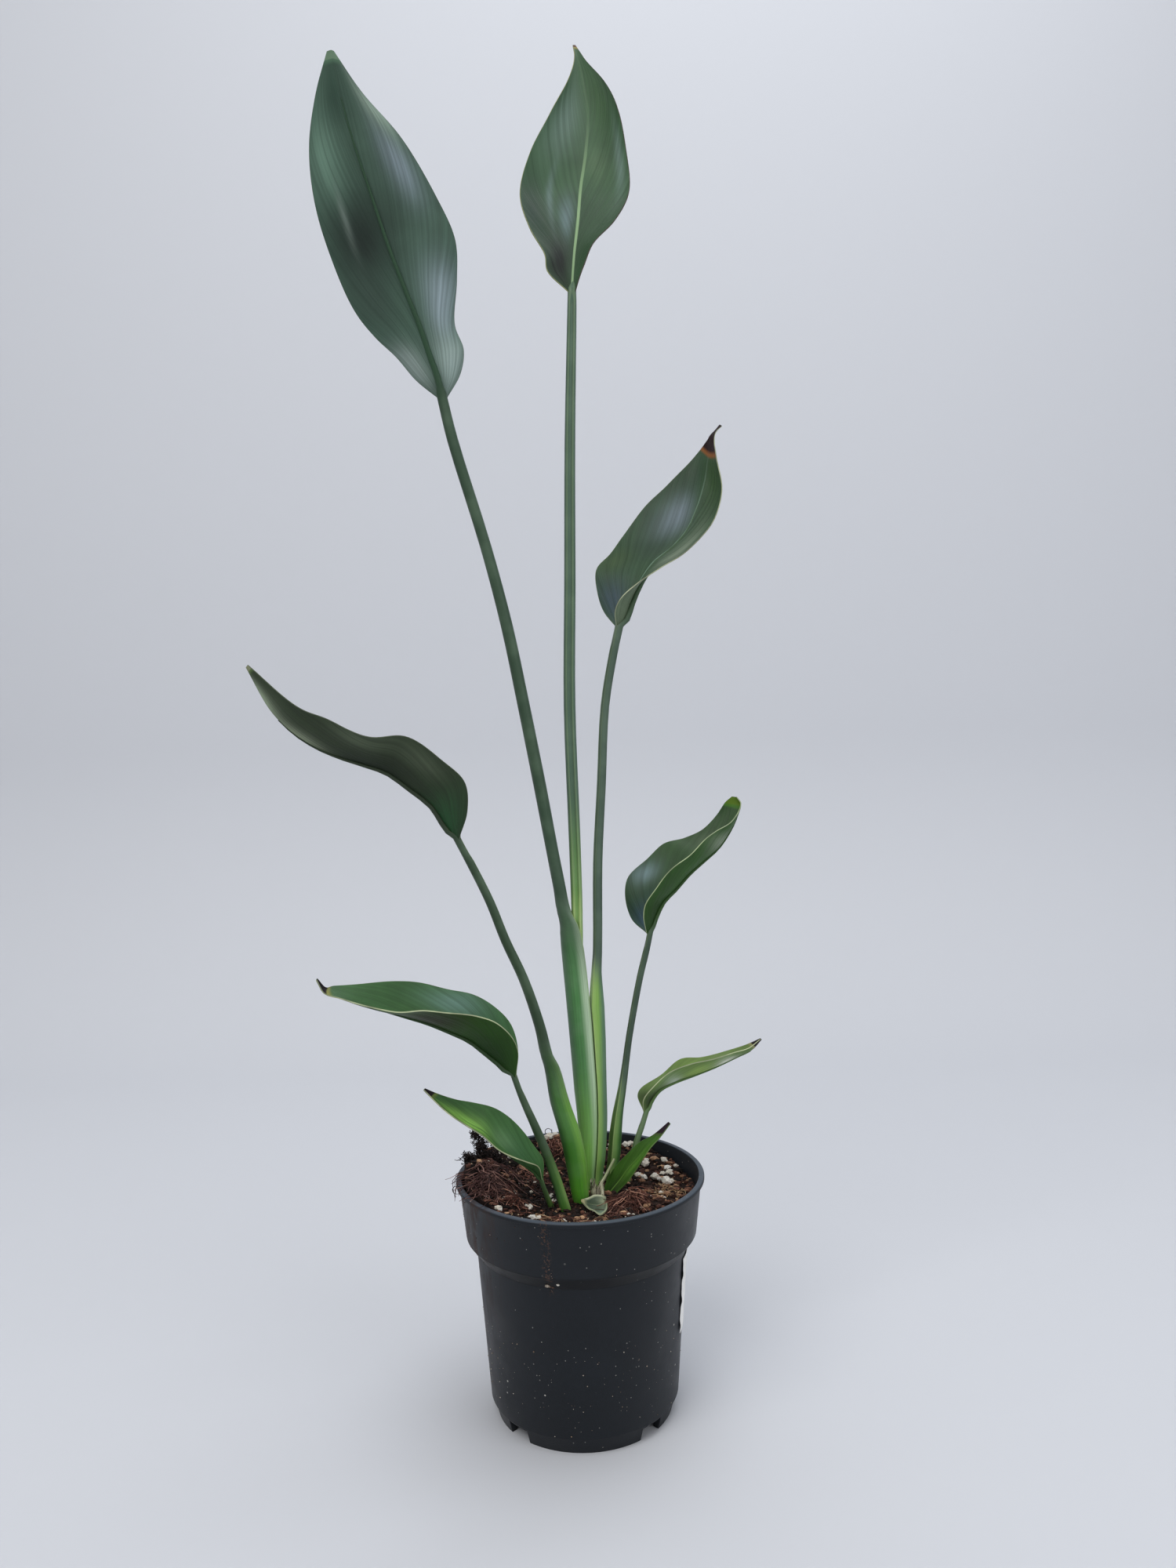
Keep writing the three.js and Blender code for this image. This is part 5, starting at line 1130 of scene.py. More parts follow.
class PotSettings(bpy.types.PropertyGroup):
    """Nursery pot."""
    rim_radius: millimetres("Rim radius", "Outer radius of the lip", 65.0)
    height: millimetres("Height", "Height of the pot", 122.0)
    wall: millimetres("Wall", "Thickness of the wall", 1.3)
    lip_height: millimetres("Lip height", "Height of the lip", 2.2)
    sides: IntProperty(name="Sides", description="Steps round the pot", default=160)
    colour: FloatVectorProperty(name="Colour", description="Colour of the plastic", subtype="COLOR",
                                default=linear("191d22")[:3])
    soil_film: FloatProperty(name="Soil film", description="How strongly soil stains the left of the pot",
                             subtype="FACTOR", default=0.75)


class SoilSettings(bpy.types.PropertyGroup):
    """Soil, its crumbs and its fibres."""
    crumbs: IntProperty(name="Crumbs", description="Loose crumbs on the soil", default=3000)
    chunks: IntProperty(name="Chunks", description="Larger chunks of coir and bark on the soil", default=760)
    grains: IntProperty(name="White grains", description="Small white grains besides the placed ones",
                        default=210)
    fibre_radius: millimetres("Fibre radius", "Radius of a coir fibre", 0.28)
    seed: IntProperty(name="Seed", description="Start of the repeatable scatter", default=11)


class LeafSettings(bpy.types.PropertyGroup):
    """Leaves."""
    thickness: millimetres("Thickness", "Thickness of a blade", 0.55)
    rows: IntProperty(name="Rows", description="Steps along a blade", default=84)
    columns: IntProperty(name="Columns", description="Steps across a blade", default=28)
    rings_per_row: IntProperty(name="Rings per row", description="Rings of a stalk from one row to the next",
                               default=4)


class StageSettings(bpy.types.PropertyGroup):
    """Floor, light and camera."""
    floor_colour: FloatVectorProperty(name="Floor colour", description="Colour of floor and backdrop",
                                      subtype="COLOR", default=linear("d3d5da")[:3])
    key_power: FloatProperty(name="Key light", description="Power of the key light, in watts", default=19.0)
    lens: millimetres("Lens", "Focal length for a long side of 36 mm", 26.1)


# Pieces

class PLANT_OT_pot(bpy.types.Operator):
    """Turn the nursery pot, cut its notches and drain holes, and round its edges"""
    bl_idname = "plant.pot"
    bl_label = "Pot"

    def execute(self, context):
        pot = context.scene.plant_pot
        lip_low = pot.height - pot.lip_height
        profile = [
            (PAD_RADIUS, 0), (PAD_RADIUS, FLOOR_UNDERSIDE_Z), (FOOT_INNER_RADIUS, FLOOR_UNDERSIDE_Z),
            (FOOT_INNER_RADIUS, 0), (FOOT_RADIUS, 0), (BODY_LOW_RADIUS - 1, FOOT_STEP_Z),
            (BODY_LOW_RADIUS, FOOT_STEP_Z), (BODY_TOP_RADIUS, BODY_TOP_Z), (COLLAR_LOW_RADIUS, COLLAR_LOW_Z),
            (COLLAR_TOP_RADIUS, lip_low), (pot.rim_radius, lip_low + 0.3), (pot.rim_radius, pot.height - 0.6),
            (pot.rim_radius - 0.6, pot.height), (pot_inner_radius(pot.height, pot), pot.height),
            (pot_inner_radius(COLLAR_LOW_Z + JUST_ABOVE, pot), COLLAR_LOW_Z + INNER_RISE),
            (pot_inner_radius(BODY_TOP_Z + JUST_ABOVE, pot), BODY_TOP_Z + INNER_RISE),
            (pot_inner_radius(FLOOR_TOP_Z, pot), FLOOR_TOP_Z),
        ]
        shell = turned_shell("pot_shell", profile, pot.sides)
        for step in range(NOTCH_COUNT):
            self.cut(shell, (step + 0.5) * 2 * math.pi / NOTCH_COUNT)
        finish_with(shell, "BEVEL", width=POT_ROUNDING * MM, segments=2,
                    limit_method="ANGLE", angle_limit=math.radians(28))
        smooth(shell, 35)
        adopt(shell, "pot_plastic", "pot", material=pot_material(pot))
        return {"FINISHED"}

    def cut(self, shell, angle):
        """Cuts one notch of the foot and the drain hole beside it."""
        facing = Matrix.Rotation(angle, 4, "Z")
        deselect_all()
        bpy.ops.mesh.primitive_cube_add(
            size=1, location=facing @ Vector(((FOOT_RADIUS - 1) * MM, 0, 0)), rotation=(0, 0, angle),
            scale=(NOTCH_DEPTH * MM, NOTCH_WIDTH * MM, 2 * NOTCH_HEIGHT * MM))
        notch = new_object("notch_cutter")
        bpy.ops.mesh.primitive_cylinder_add(
            vertices=32, radius=DRAIN_RADIUS * MM, depth=30 * MM,
            location=facing @ Vector((DRAIN_CIRCLE * MM, 0, 0)))
        hole = new_object("drain_cutter")
        for cutter in (notch, hole):
            finish_with(shell, "BOOLEAN", operation="DIFFERENCE", solver="EXACT", object=cutter)
            bpy.data.objects.remove(cutter)


class PLANT_OT_label(bpy.types.Operator):
    """Bend the blank sticker round the pot, with its nearer edge lifted a little"""
    bl_idname = "plant.label"
    bl_label = "Sticker"

    def execute(self, context):
        sticker, along, across = sheet_grid("sticker", 48, 32)
        angle = np.radians(mix(LABEL_FROM, LABEL_TO, along))
        z = mix(LABEL_LOW_Z, LABEL_HIGH_Z, (across + 1) / 2)
        body = mix(BODY_LOW_RADIUS, BODY_TOP_RADIUS, (z - FOOT_STEP_Z) / (BODY_TOP_Z - FOOT_STEP_Z))
        # The edge nearer the viewer stands off in small waves
        free = 1 - smoothstep(0.0, 0.3, along)
        wave = 0.28 * np.sin(0.42 * z + 1.0) + 0.14 * np.sin(0.95 * z)
        radius = body + LABEL_GAP + 0.15 + free * np.maximum(0.12 + wave, -0.1)
        shape(sticker, np.stack([radius * np.cos(angle), radius * np.sin(angle), z], axis=1))
        face_outwards(sticker)
        finish_with(sticker, "SOLIDIFY", thickness=LABEL_THICKNESS * MM, offset=0)
        smooth(sticker)
        adopt(sticker, "label_paper", "label", material=paper_material())
        return {"FINISHED"}


class PLANT_OT_soil(bpy.types.Operator):
    """Shape the soil with its heap and fine relief, down to the floor of the pot"""
    bl_idname = "plant.soil"
    bl_label = "Soil"

    def execute(self, context):
        pot = context.scene.plant_pot
        bed, along, across = sheet_grid("soil_bed", 150, 150)
        # The square grid is drawn onto a disc
        x, y = 2 * along - 1, across
        edge = pot_inner_radius(SOIL_LEVEL, pot) - SOIL_GAP
        disc_x = edge * x * np.sqrt(1 - y ** 2 / 2)
        disc_y = edge * y * np.sqrt(1 - x ** 2 / 2)
        z = soil_height(disc_x, disc_y)
        relief = np.array([
            noise.fractal(Vector((a * 0.16, b * 0.16, 3.1)), 0.7, 2.1, 5) for a, b in zip(disc_x, disc_y)
        ])
        rim = np.hypot(disc_x, disc_y) / edge
        shape(bed, np.stack([disc_x, disc_y, z + SOIL_RELIEF * relief * (1 - rim ** 8)], axis=1))
        # The rim is extruded down the pot's wall, ring by ring, and closed at the floor
        pick_open_edges(bed)
        for height in (COLLAR_LOW_Z + INNER_RISE, BODY_TOP_Z + INNER_RISE, FLOOR_TOP_Z + SOIL_GAP):
            bpy.ops.mesh.extrude_edges_move(TRANSFORM_OT_translate={"value": (0, 0, -1 * MM)})
            bpy.ops.object.mode_set(mode="OBJECT")
            points = points_of(bed) / MM
            picked = np.array([vertex.select for vertex in bed.data.vertices])
            reach = np.hypot(points[picked, 0], points[picked, 1])
            points[picked, :2] *= ((pot_inner_radius(height, pot) - SOIL_GAP) / reach)[:, None]
            points[picked, 2] = height
            shape(bed, points)
            bpy.ops.object.mode_set(mode="EDIT")
        bpy.ops.mesh.edge_face_add()
        face_outwards(bed)
        smooth(bed, 60)
        adopt(bed, "soil_mix", "soil", material=soil_material())
        return {"FINISHED"}


class Scatter:
    """Copies of one small mesh in one object, each at its own place, size and turn, with its own tint."""

    def __init__(self, chance):
        self.chance = chance
        self.places = []
        self.sizes = []
        self.turns = []
        self.tints = []

    def put(self, place, size, width, height):
        """Adds a copy whose relative width and height are drawn from their ranges, with a random turn."""
        self.places.append(place)
        self.sizes.append(size * np.array([1, self.chance.uniform(*width), self.chance.uniform(*height)]))
        self.turns.append([self.chance.uniform(0, 2 * math.pi) for _ in range(3)])

    def build(self, name, source, material):
        """Makes all the copies of the source as one piece."""
        base = points_of(source)
        faces = np.array([list(polygon.vertices) for polygon in source.data.polygons])
        count = len(self.places)
        points = np.zeros((count, len(base), 3))
        for index in range(count):
            turned = base @ np.array(Euler(self.turns[index]).to_matrix()).T
            points[index] = turned * self.sizes[index] + self.places[index]
        shifts = (np.arange(count) * len(base))[:, None, None]
        corners = (faces[None] + shifts).reshape(-1, 3)
        mesh = bpy.data.meshes.new(name)
        mesh.from_pydata((points.reshape(-1, 3) * MM).tolist(), [], corners.tolist())
        made = bpy.data.objects.new(name, mesh)
        bpy.context.scene.collection.objects.link(made)
        store(made, "tint", np.repeat(self.tints, len(base)))
        adopt(made, "soil_mix", material=material)


def crumb_source(seed, roughness):
    """One lumpy crumb of radius 1, as the shape that a scatter repeats."""
    deselect_all()
    bpy.ops.mesh.primitive_ico_sphere_add(subdivisions=1, radius=1)
    source = new_object("crumb_source")
    points = points_of(source)
    chance = random.Random(seed)
    for point in points:
        point *= 1 + roughness * chance.uniform(-1, 1)
    move_vertices(source, points)
    return source


def disc_spot(chance, reach):
    """A random spot of a disc."""
    radius, angle = reach * math.sqrt(chance.random()), chance.uniform(0, 2 * math.pi)
    return radius * math.cos(angle), radius * math.sin(angle)


def on_soil(x, y, lift):
    """A point at a height above the soil's surface."""
    return x, y, float(soil_height(x, y)) + lift


class PLANT_OT_crumbs(bpy.types.Operator):
    """Scatter crumbs, chunks and white grains over the soil, and the spilled ones on the pot"""
    bl_idname = "plant.crumbs"
    bl_label = "Crumbs and grains"

    def execute(self, context):
        soil = context.scene.plant_soil
        chance = random.Random(soil.seed)
        crumb = crumb_source(soil.seed, 0.34)
        grain = crumb_source(soil.seed + 1, 0.24)
        colours = ("0b0706", "24140f", "55342a", "8a5c48", "c79f7c")
        crumbs = self.crumbs(soil.crumbs, chance, 0.4, 1.1, (0.4, 1))
        crumbs.build("soil_crumbs", crumb, tinted_material("coir_crumbs", colours))
        chunks = self.crumbs(soil.chunks, chance, 1.0, 1.7, (0.25, 0.7), BARK)
        chunks.build("soil_chunks", crumb, tinted_material("coir_chunks", colours, grain=700.0))
        white = tinted_material("white_grains", ("d2bd98", "efe4d0", "faf6ee"), 0.75, 2500.0)
        self.white_grains(soil.grains, chance).build("perlite_grains", grain, white)
        spilled = tinted_material("spilled_soil", ("2c1c16", "5a3d31", "9a8672", "e2dccf"))
        self.spilled(chance).build("spilled_crumbs", crumb, spilled)
        bpy.data.objects.remove(crumb)
        bpy.data.objects.remove(grain)
        return {"FINISHED"}

    def crumbs(self, count, chance, smallest, spread, flatness, placed=()):
        """Crumbs of one size class, lighter and tanner toward the right as in the plant's own mix."""
        crumbs = Scatter(chance)
        for _ in range(count):
            x, y = disc_spot(chance, CRUMB_REACH)
            size = smallest + spread * chance.random() ** 3
            crumbs.put(on_soil(x, y, chance.uniform(0.1, 0.6) * size), size, flatness, flatness)
            crumbs.tints.append(min(1, max(0, chance.gauss(0.32 + 0.2 * smoothstep(10, 45, x), 0.3))))
        for x, y, size in placed:
            crumbs.put(on_soil(x, y, 0.45 * size), size, (0.6, 0.9), (0.5, 0.8))
            crumbs.tints.append(chance.uniform(0.85, 1))
        return crumbs

    def white_grains(self, count, chance):
        """The listed grains, each a small cluster of lumps, and the small ones between them."""
        grains = Scatter(chance)
        for x, y, size in GRAINS:
            for lump in range(4):
                shift = 0.4 * size * lump
                dx, dy = chance.uniform(-shift, shift), chance.uniform(-shift, shift)
                part = size * (1.0 if lump == 0 else chance.uniform(0.4, 0.72))
                grains.put(on_soil(x + dx, y + dy, 0.6 * size), part, (0.65, 1), (0.6, 0.9))
                grains.tints.append(chance.uniform(0.6, 1))
        for _ in range(count):
            x, y = disc_spot(chance, GRAIN_REACH)
            size = 0.35 + 0.8 * chance.random() ** 2
            grains.put(on_soil(x, y, 0.5 * size), size, (0.6, 1), (0.6, 0.9))
            grains.tints.append(chance.uniform(0, 1))
        return grains

    def spilled(self, chance):
        """Crumbs that stick to the pot, each with its azimuth in degrees, height, size and tint."""
        # On the step
        spots = [
            (-106.6, 88.0, 1.3, 0.8), (-105.6, 87.4, 0.8, 0.5), (-101.0, 89.4, 0.9, 1.0),
            (-104.2, 86.8, 0.7, 0.4),
        ]
        # Along the streak
        for _ in range(46):
            height, azimuth = chance.uniform(84, 119), chance.gauss(SPILL_AZIMUTH, 1.3)
            spots.append((azimuth, height, chance.uniform(0.1, 0.3), 0.7 * chance.random()))
        # Thinly all round, from the middle of the body up
        for _ in range(40):
            azimuth, height = chance.uniform(-180, 180), chance.uniform(60, 118)
            spots.append((azimuth, height, chance.uniform(0.08, 0.18), chance.random()))
        # All round the lower half of the body
        for _ in range(300):
            height, azimuth = 9 + 46 * chance.random(), chance.uniform(-180, 180)
            spots.append((azimuth, height, 0.12 + 0.34 * chance.random() ** 3, 0.6 + 0.4 * chance.random()))
        # At the left, on the collar and below it
        for _ in range(110):
            azimuth, height = chance.gauss(188, 20), chance.uniform(72, 119)
            spots.append((azimuth, height, chance.uniform(0.12, 0.32), 0.4 * chance.random()))
        crumbs = Scatter(chance)
        for azimuth, z, size, tint in spots:
            angle = math.radians(azimuth)
            radius = pot_outer_radius(z) + 0.3 * size
            crumbs.put((radius * math.cos(angle), radius * math.sin(angle), z), size, (0.5, 1), (0.5, 1))
            crumbs.tints.append(tint)
        return crumbs


def strand_points(chance, start, heading, length, curl, droop, layer=None):
    """Points of one wandering strand. With a layer it lies that high above the soil."""
    point, direction = Vector(start), Vector(heading).normalized()
    points = [point.copy()]
    for _ in range(STRAND_STEPS):
        turn = Vector([chance.gauss(0, curl) for _ in range(3)]) * 0.5
        direction = (direction + turn - Vector((0, 0, droop))).normalized()
        point = point + direction * (length / STRAND_STEPS)
        if layer is not None:
            ground = float(soil_height(point.x, point.y))
            point.z = min(max(point.z, ground + layer), ground + layer + 1.2)
        points.append(point.copy())
    return points


def strand_object(name, strands, radius, tints):
    """All strands as one mesh of thin tapered tubes, each with its own tint."""
    curve = bpy.data.curves.new(name, "CURVE")
    curve.dimensions = "3D"
    curve.bevel_depth = radius * MM
    curve.bevel_resolution = 0
    curve.use_fill_caps = True
    for points in strands:
        spline = curve.splines.new("POLY")
        spline.points.add(len(points) - 1)
        last = len(points) - 1
        for index, point in enumerate(points):
            spline.points[index].co = (point.x * MM, point.y * MM, point.z * MM, 1)
            spline.points[index].radius = 1 - 0.6 * index / last
    made = bpy.data.objects.new(name, curve)
    bpy.context.scene.collection.objects.link(made)
    choose(made)
    bpy.ops.object.convert(target="MESH")
    made = bpy.context.object
    sections = np.array([len(points) for points in strands])
    corners = 4
    caps = (len(made.data.vertices) - corners * int(sections.sum())) // len(strands)
    store(made, "tint", np.repeat(tints, corners * sections + caps))
    return made


class PLANT_OT_fibres(bpy.types.Operator):
    """Lay the clumps of coir fibre, the dark tuft and the strands over the rim"""
    bl_idname = "plant.fibres"
    bl_label = "Fibres"

    def execute(self, context):
        soil = context.scene.plant_soil
        chance = random.Random(soil.seed + 5)
        strands = {kind: [] for kind in COIR_COLOURS}
        heights = {kind: [] for kind in COIR_COLOURS}
        for kind, x, y, wide, deep, count, shortest, longest, curl, down, mat in CLUMPS:
            for _ in range(count):
                px, py = x + chance.gauss(0, 0.55 * wide), y + chance.gauss(0, 0.55 * deep)
                reach = math.hypot(px, py)
                if reach > CLUMP_REACH:
                    px, py = px * CLUMP_REACH / reach, py * CLUMP_REACH / reach
                aside, toward = chance.gauss(0, 0.45), -down * chance.random() + chance.gauss(0, 0.3)
                heading = (aside, toward, chance.gauss(0, 0.3))
                thinning = math.exp(-((px - x) / wide) ** 2 - ((py - y) / deep) ** 2)
                layer = 0.15 + mat * chance.random() ** 1.5 * thinning
                start = (px, py, float(soil_height(px, py)) + layer)
                length = chance.uniform(shortest, longest)
                strands[kind].append(strand_points(chance, start, heading, length, curl, 0.1, layer))
                heights[kind].append(layer / mat)
        strands["purple"] += self.over_the_rim(chance)
        strands["dark"] += self.tuft(chance) + self.loops(chance)
        for kind, lines in strands.items():
            heights[kind] += [0.5] * (len(lines) - len(heights[kind]))
            # Painted shade: strands lower in a mat get darker tints, on top of a random share
            tints = [min(1, 0.5 * chance.random() + 0.7 * height) for height in heights[kind]]
            made = strand_object(f"fibres_{kind}", lines, soil.fibre_radius, tints)
            coir = tinted_material(f"coir_{kind}", COIR_COLOURS[kind], 0.7, 900.0)
            adopt(made, "soil_mix", material=coir)
        return {"FINISHED"}

    def over_the_rim(self, chance):
        """Strands that bend over the rim at the left and hang along the collar."""
        lines = []
        for _ in range(9):
            angle = math.radians(chance.gauss(196, 9))
            outward = Vector((math.cos(angle), math.sin(angle), 0))
            sideways = Vector((-outward.y, outward.x, 0)) * chance.gauss(0, 3)
            drop = chance.uniform(1, 8) if chance.random() < 0.5 else 0
            reach = (57, 61, 64.8, 66.2, 66.4, 66.0)
            heights = (122.5, 124.5 + chance.random(), 123.6, 121, 119 - 0.5 * drop, 118.5 - drop)
            last = len(reach) if drop else 4
            points = []
            for index in range(last):
                wander = Vector([chance.gauss(0, 0.35) for _ in range(3)])
                spot = outward * reach[index] + sideways * (index / last)
                points.append(spot + Vector((0, 0, heights[index])) + wander)
            lines.append(points)
        return lines

    def loops(self, chance):
        """Fibres that stand clear of the soil and curl back into it."""
        lines = []
        for x, y, z, radius in LOOPS:
            points = []
            for step in range(15):
                turn = 2 * math.pi * step / 13
                offset = Vector((radius * math.cos(turn), 0.1 * radius * step, radius * math.sin(turn)))
                points.append(Vector((x, y, z)) + offset)
            lines.append(points)
        return lines

    def tuft(self, chance):
        """Black root fibres that stand up from the heap, as a ragged plume."""
        lines = []
        for x, y, z, size in TUFT:
            for _ in range(int(46 * size)):
                heading = Vector([chance.gauss(0, 1) for _ in range(3)]) + Vector((-0.25, 0, 0.3))
                start = Vector((x, y, z)) + Vector([chance.gauss(0, 0.36 * size) for _ in range(3)])
                length = chance.uniform(0.4, 0.95) * size
                lines.append(strand_points(chance, start, heading, length, 0.9, 0.05))
        return lines


def blade_lines(leaf, fraction):
    """Midrib, near margin and far margin at each fraction of the blade."""
    return [smooth_through([station[line] for station in leaf["blade"]], fraction) for line in range(3)]


def midrib_frame(leaf, fraction):
    """Place, direction and opening side of the midrib at each fraction."""
    place, near, far = blade_lines(leaf, fraction)
    step = 1e-3
    ahead = blade_lines(leaf, np.minimum(fraction + step, 1))[0]
    behind = blade_lines(leaf, np.maximum(fraction - step, 0))[0]
    along = unit(ahead - behind)
    opening = (near + far) / 2 - place
    opening = unit(opening - along * np.sum(opening * along, axis=1, keepdims=True))
    return place, along, opening, near, far


def build_blade(leaf, look, settings):
    """Folded blade of a leaf with its waved margins, thickened, with its place stored for the materials."""
    blade, fraction, across = sheet_grid(f"{leaf['name']}_blade", settings.rows, settings.columns)
    place, along, opening, near, far = midrib_frame(leaf, fraction)
    margin = np.where((across < 0)[:, None], near, far)
    reach = np.abs(across)
    half_width = np.linalg.norm(margin - place, axis=1)
    bulge = -0.3 * half_width * reach * (1 - reach)
    phase = np.where(across < 0, 0.6, 2.2)
    fade = np.sin(np.pi * fraction)
    swing = np.sin(2 * np.pi * leaf["waves"] * fraction + phase) * fade
    lift = bulge + leaf["ripple"] * reach ** 2 * swing
    points = place + (margin - place) * reach[:, None] + opening * lift[:, None]
    shape(blade, points)
    table = np.linspace(0, 1, MIDRIB_POINTS)
    midrib = blade_lines(leaf, table)[0]
    run = np.concatenate([[0], np.cumsum(np.linalg.norm(np.diff(midrib, axis=0), axis=1))])
    stored = np.stack([np.interp(fraction, table, run), across, half_width], axis=1)
    store(blade, "leaf_place", stored, "FLOAT_VECTOR")
    normals = np.zeros(len(blade.data.vertices) * 3, np.float32)
    blade.data.vertices.foreach_get("normal", normals)
    if np.sum(normals.reshape(-1, 3) * opening) < 0:
        edit(blade)
        bpy.ops.mesh.flip_normals()
        bpy.ops.object.mode_set(mode="OBJECT")
    length = float(run[-1])
    for face in ("upper", "under"):
        blade.data.materials.append(leaf_material(leaf["name"], face, look, length))
    blade.data.materials.append(margin_material(leaf["name"], look))
    finish_with(blade, "SOLIDIFY", thickness=settings.thickness * MM, offset=0,
                material_offset=1, material_offset_rim=2)
    smooth(blade, 60)
    return blade


def stalk_rows(leaf, settings):
    """Centre, direction, opening side, radius and bite of every ring from the foot to the keel's end."""
    rows = leaf["stalk"]
    steps = settings.rings_per_row * (len(rows) - 1) + 1
    fraction = np.linspace(0, 1, steps)
    centre = smooth_through([row[:3] for row in rows], fraction)
    station = fraction * (len(rows) - 1)
    numbers = np.arange(len(rows))
    radius = np.interp(station, numbers, [row[3] for row in rows])
    facing = np.radians(np.interp(station, numbers, [row[4] for row in rows]))
    bites = []
    for index, row in enumerate(rows):
        offset, size = FLAT if index == len(rows) - 1 else GROOVE
        bites.append(row[5:7] if len(row) > 5 else [offset * row[3], size * row[3]])
    offset = np.interp(station, numbers, [bite[0] for bite in bites])
    size = np.interp(station, numbers, [bite[1] for bite in bites])
    leaning = unit(np.gradient(centre, axis=0))
    lean = smoothstep(0, 1, centre[:, 2] - leaf["mouth"])[:, None]
    along = unit(UP * (1 - lean) + leaning * lean)
    opening = np.stack([np.cos(facing), np.sin(facing), np.zeros(steps)], axis=1)
    stops = np.linspace(KEEL_FROM, KEEL_TO, KEEL_RINGS)
    place, keel_along, keel_open, _, _ = midrib_frame(leaf, stops)
    keel_radius = mix(0.75 * rows[-1][3], 0.3, stops / stops[-1])
    keel_centre = place - keel_open * (KEEL_SINK * keel_radius)[:, None]
    return (np.vstack([centre, keel_centre]), np.vstack([along, keel_along]), np.vstack([opening, keel_open]),
            np.concatenate([radius, keel_radius]), np.concatenate([offset, FLAT[0] * keel_radius]),
            np.concatenate([size, FLAT[1] * keel_radius]))


def build_stalk(leaf, look, settings):
    """Stalk of a leaf with its groove or sheath, running on as the keel under the midrib."""
    centre, along, opening, radius, offset, size = stalk_rows(leaf, settings)
    around = OUTER_STEPS + INNER_STEPS + 2
    stalk, fraction, turn = sheet_grid(f"{leaf['name']}_stalk", len(centre) - 1, around)
    ring = np.rint(fraction * (len(centre) - 1)).astype(int)
    corner = np.rint((turn + 1) / 2 * around).astype(int) % around
    face = unit(opening - along * np.sum(opening * along, axis=1, keepdims=True))
    side = np.cross(along, face)
    # Each ring runs round its outer face and back round its bite, and stops a little short of both lips
    bitten = offset + size > radius
    crossing = (offset ** 2 + radius ** 2 - size ** 2) / (2 * offset)
    outer_reach = np.pi - np.arccos(np.clip(crossing / radius, -1, 1)) - 0.1
    inner_reach = np.pi - np.arccos(np.clip((crossing - offset) / size, -1, 1)) - 0.14
    outer_reach = np.where(bitten, outer_reach, np.pi - 0.14)[ring]
    inner_reach = np.where(bitten, inner_reach, np.pi - 0.14)[ring]
    on_outer = corner <= OUTER_STEPS
    step = np.where(on_outer, 2 * corner / OUTER_STEPS - 1, 1 - 2 * (corner - OUTER_STEPS - 1) / INNER_STEPS)
    angle = step * np.where(on_outer, outer_reach, inner_reach)
    reach = np.where(on_outer, radius[ring], size[ring])
    middle = centre[ring] + face[ring] * np.where(on_outer, 0, offset[ring])[:, None]
    points = middle + side[ring] * (reach * np.sin(angle))[:, None]
    points -= face[ring] * (reach * np.cos(angle))[:, None]
    shape(stalk, points)
    to_edge = np.where(on_outer, radius[ring], 0.6 * size[ring]) * (1 - np.abs(step)) * np.pi * 0.8
    store(stalk, "stalk_place", np.stack([points[:, 2], to_edge, step], axis=1), "FLOAT_VECTOR")
    # How far each point faces right; the material paints shade and highlight on the flanks by it
    outward = side[ring] * np.sin(angle)[:, None] - face[ring] * np.cos(angle)[:, None]
    store(stalk, "flank", np.where(on_outer, 1, -1) * outward[:, 0])
    stalk_rings = settings.rings_per_row * (len(leaf["stalk"]) - 1) + 1
    store(stalk, "keel", smoothstep(stalk_rings - 3, stalk_rings + 2, ring))
    stalk.data.materials.append(stalk_material(leaf["name"], look, leaf["mouth"]))
    merge_seam(stalk)
    fill_open_rings(stalk)
    smooth(stalk, 50)
    return stalk


class PLANT_OT_leaves(bpy.types.Operator):
    """Grow every leaf: its stalk or sheath, its keel and its folded blade"""
    bl_idname = "plant.leaves"
    bl_label = "Leaves"

    def execute(self, context):
        settings = context.scene.plant_leaf
        for leaf in LEAVES:
            look = LOOKS[leaf["name"]]
            grown = build_blade(leaf, look, settings)
            if "stalk" in leaf:
                join(grown, build_stalk(leaf, look, settings))
            grown.name = f"{leaf['name']}_grown"
            adopt(grown, look["slot"], leaf["name"])
        return {"FINISHED"}


def tube_rows(name, rows, sides):
    """Closed tapered tube along rows of x, y, z and radius."""
    rows = np.array(rows, float)
    fraction = np.linspace(0, 1, 6 * (len(rows) - 1) + 1)
    centre = smooth_through(rows[:, :3], fraction)
    radius = np.interp(fraction * (len(rows) - 1), np.arange(len(rows)), rows[:, 3])
    tube, along, turn = sheet_grid(name, len(fraction) - 1, sides)
    ring = np.rint(along * (len(fraction) - 1)).astype(int)
    angle = np.pi * turn
    direction = unit(np.gradient(centre, axis=0))
    across = unit(np.cross(direction, np.array([0.3, 1.0, 0.1])))
    side = np.cross(direction, across)
    outward = across[ring] * np.cos(angle)[:, None] + side[ring] * np.sin(angle)[:, None]
    points = centre[ring] + outward * radius[ring][:, None]
    shape(tube, points)
    # A plain tube has no edge, keel or flanks, so every point lies 9 mm from an edge
    stored = np.stack([points[:, 2], np.full(len(points), 9.0), turn], axis=1)
    store(tube, "stalk_place", stored, "FLOAT_VECTOR")
    for label in ("keel", "flank"):
        store(tube, label, np.zeros(len(points)))
    merge_seam(tube)
    return tube


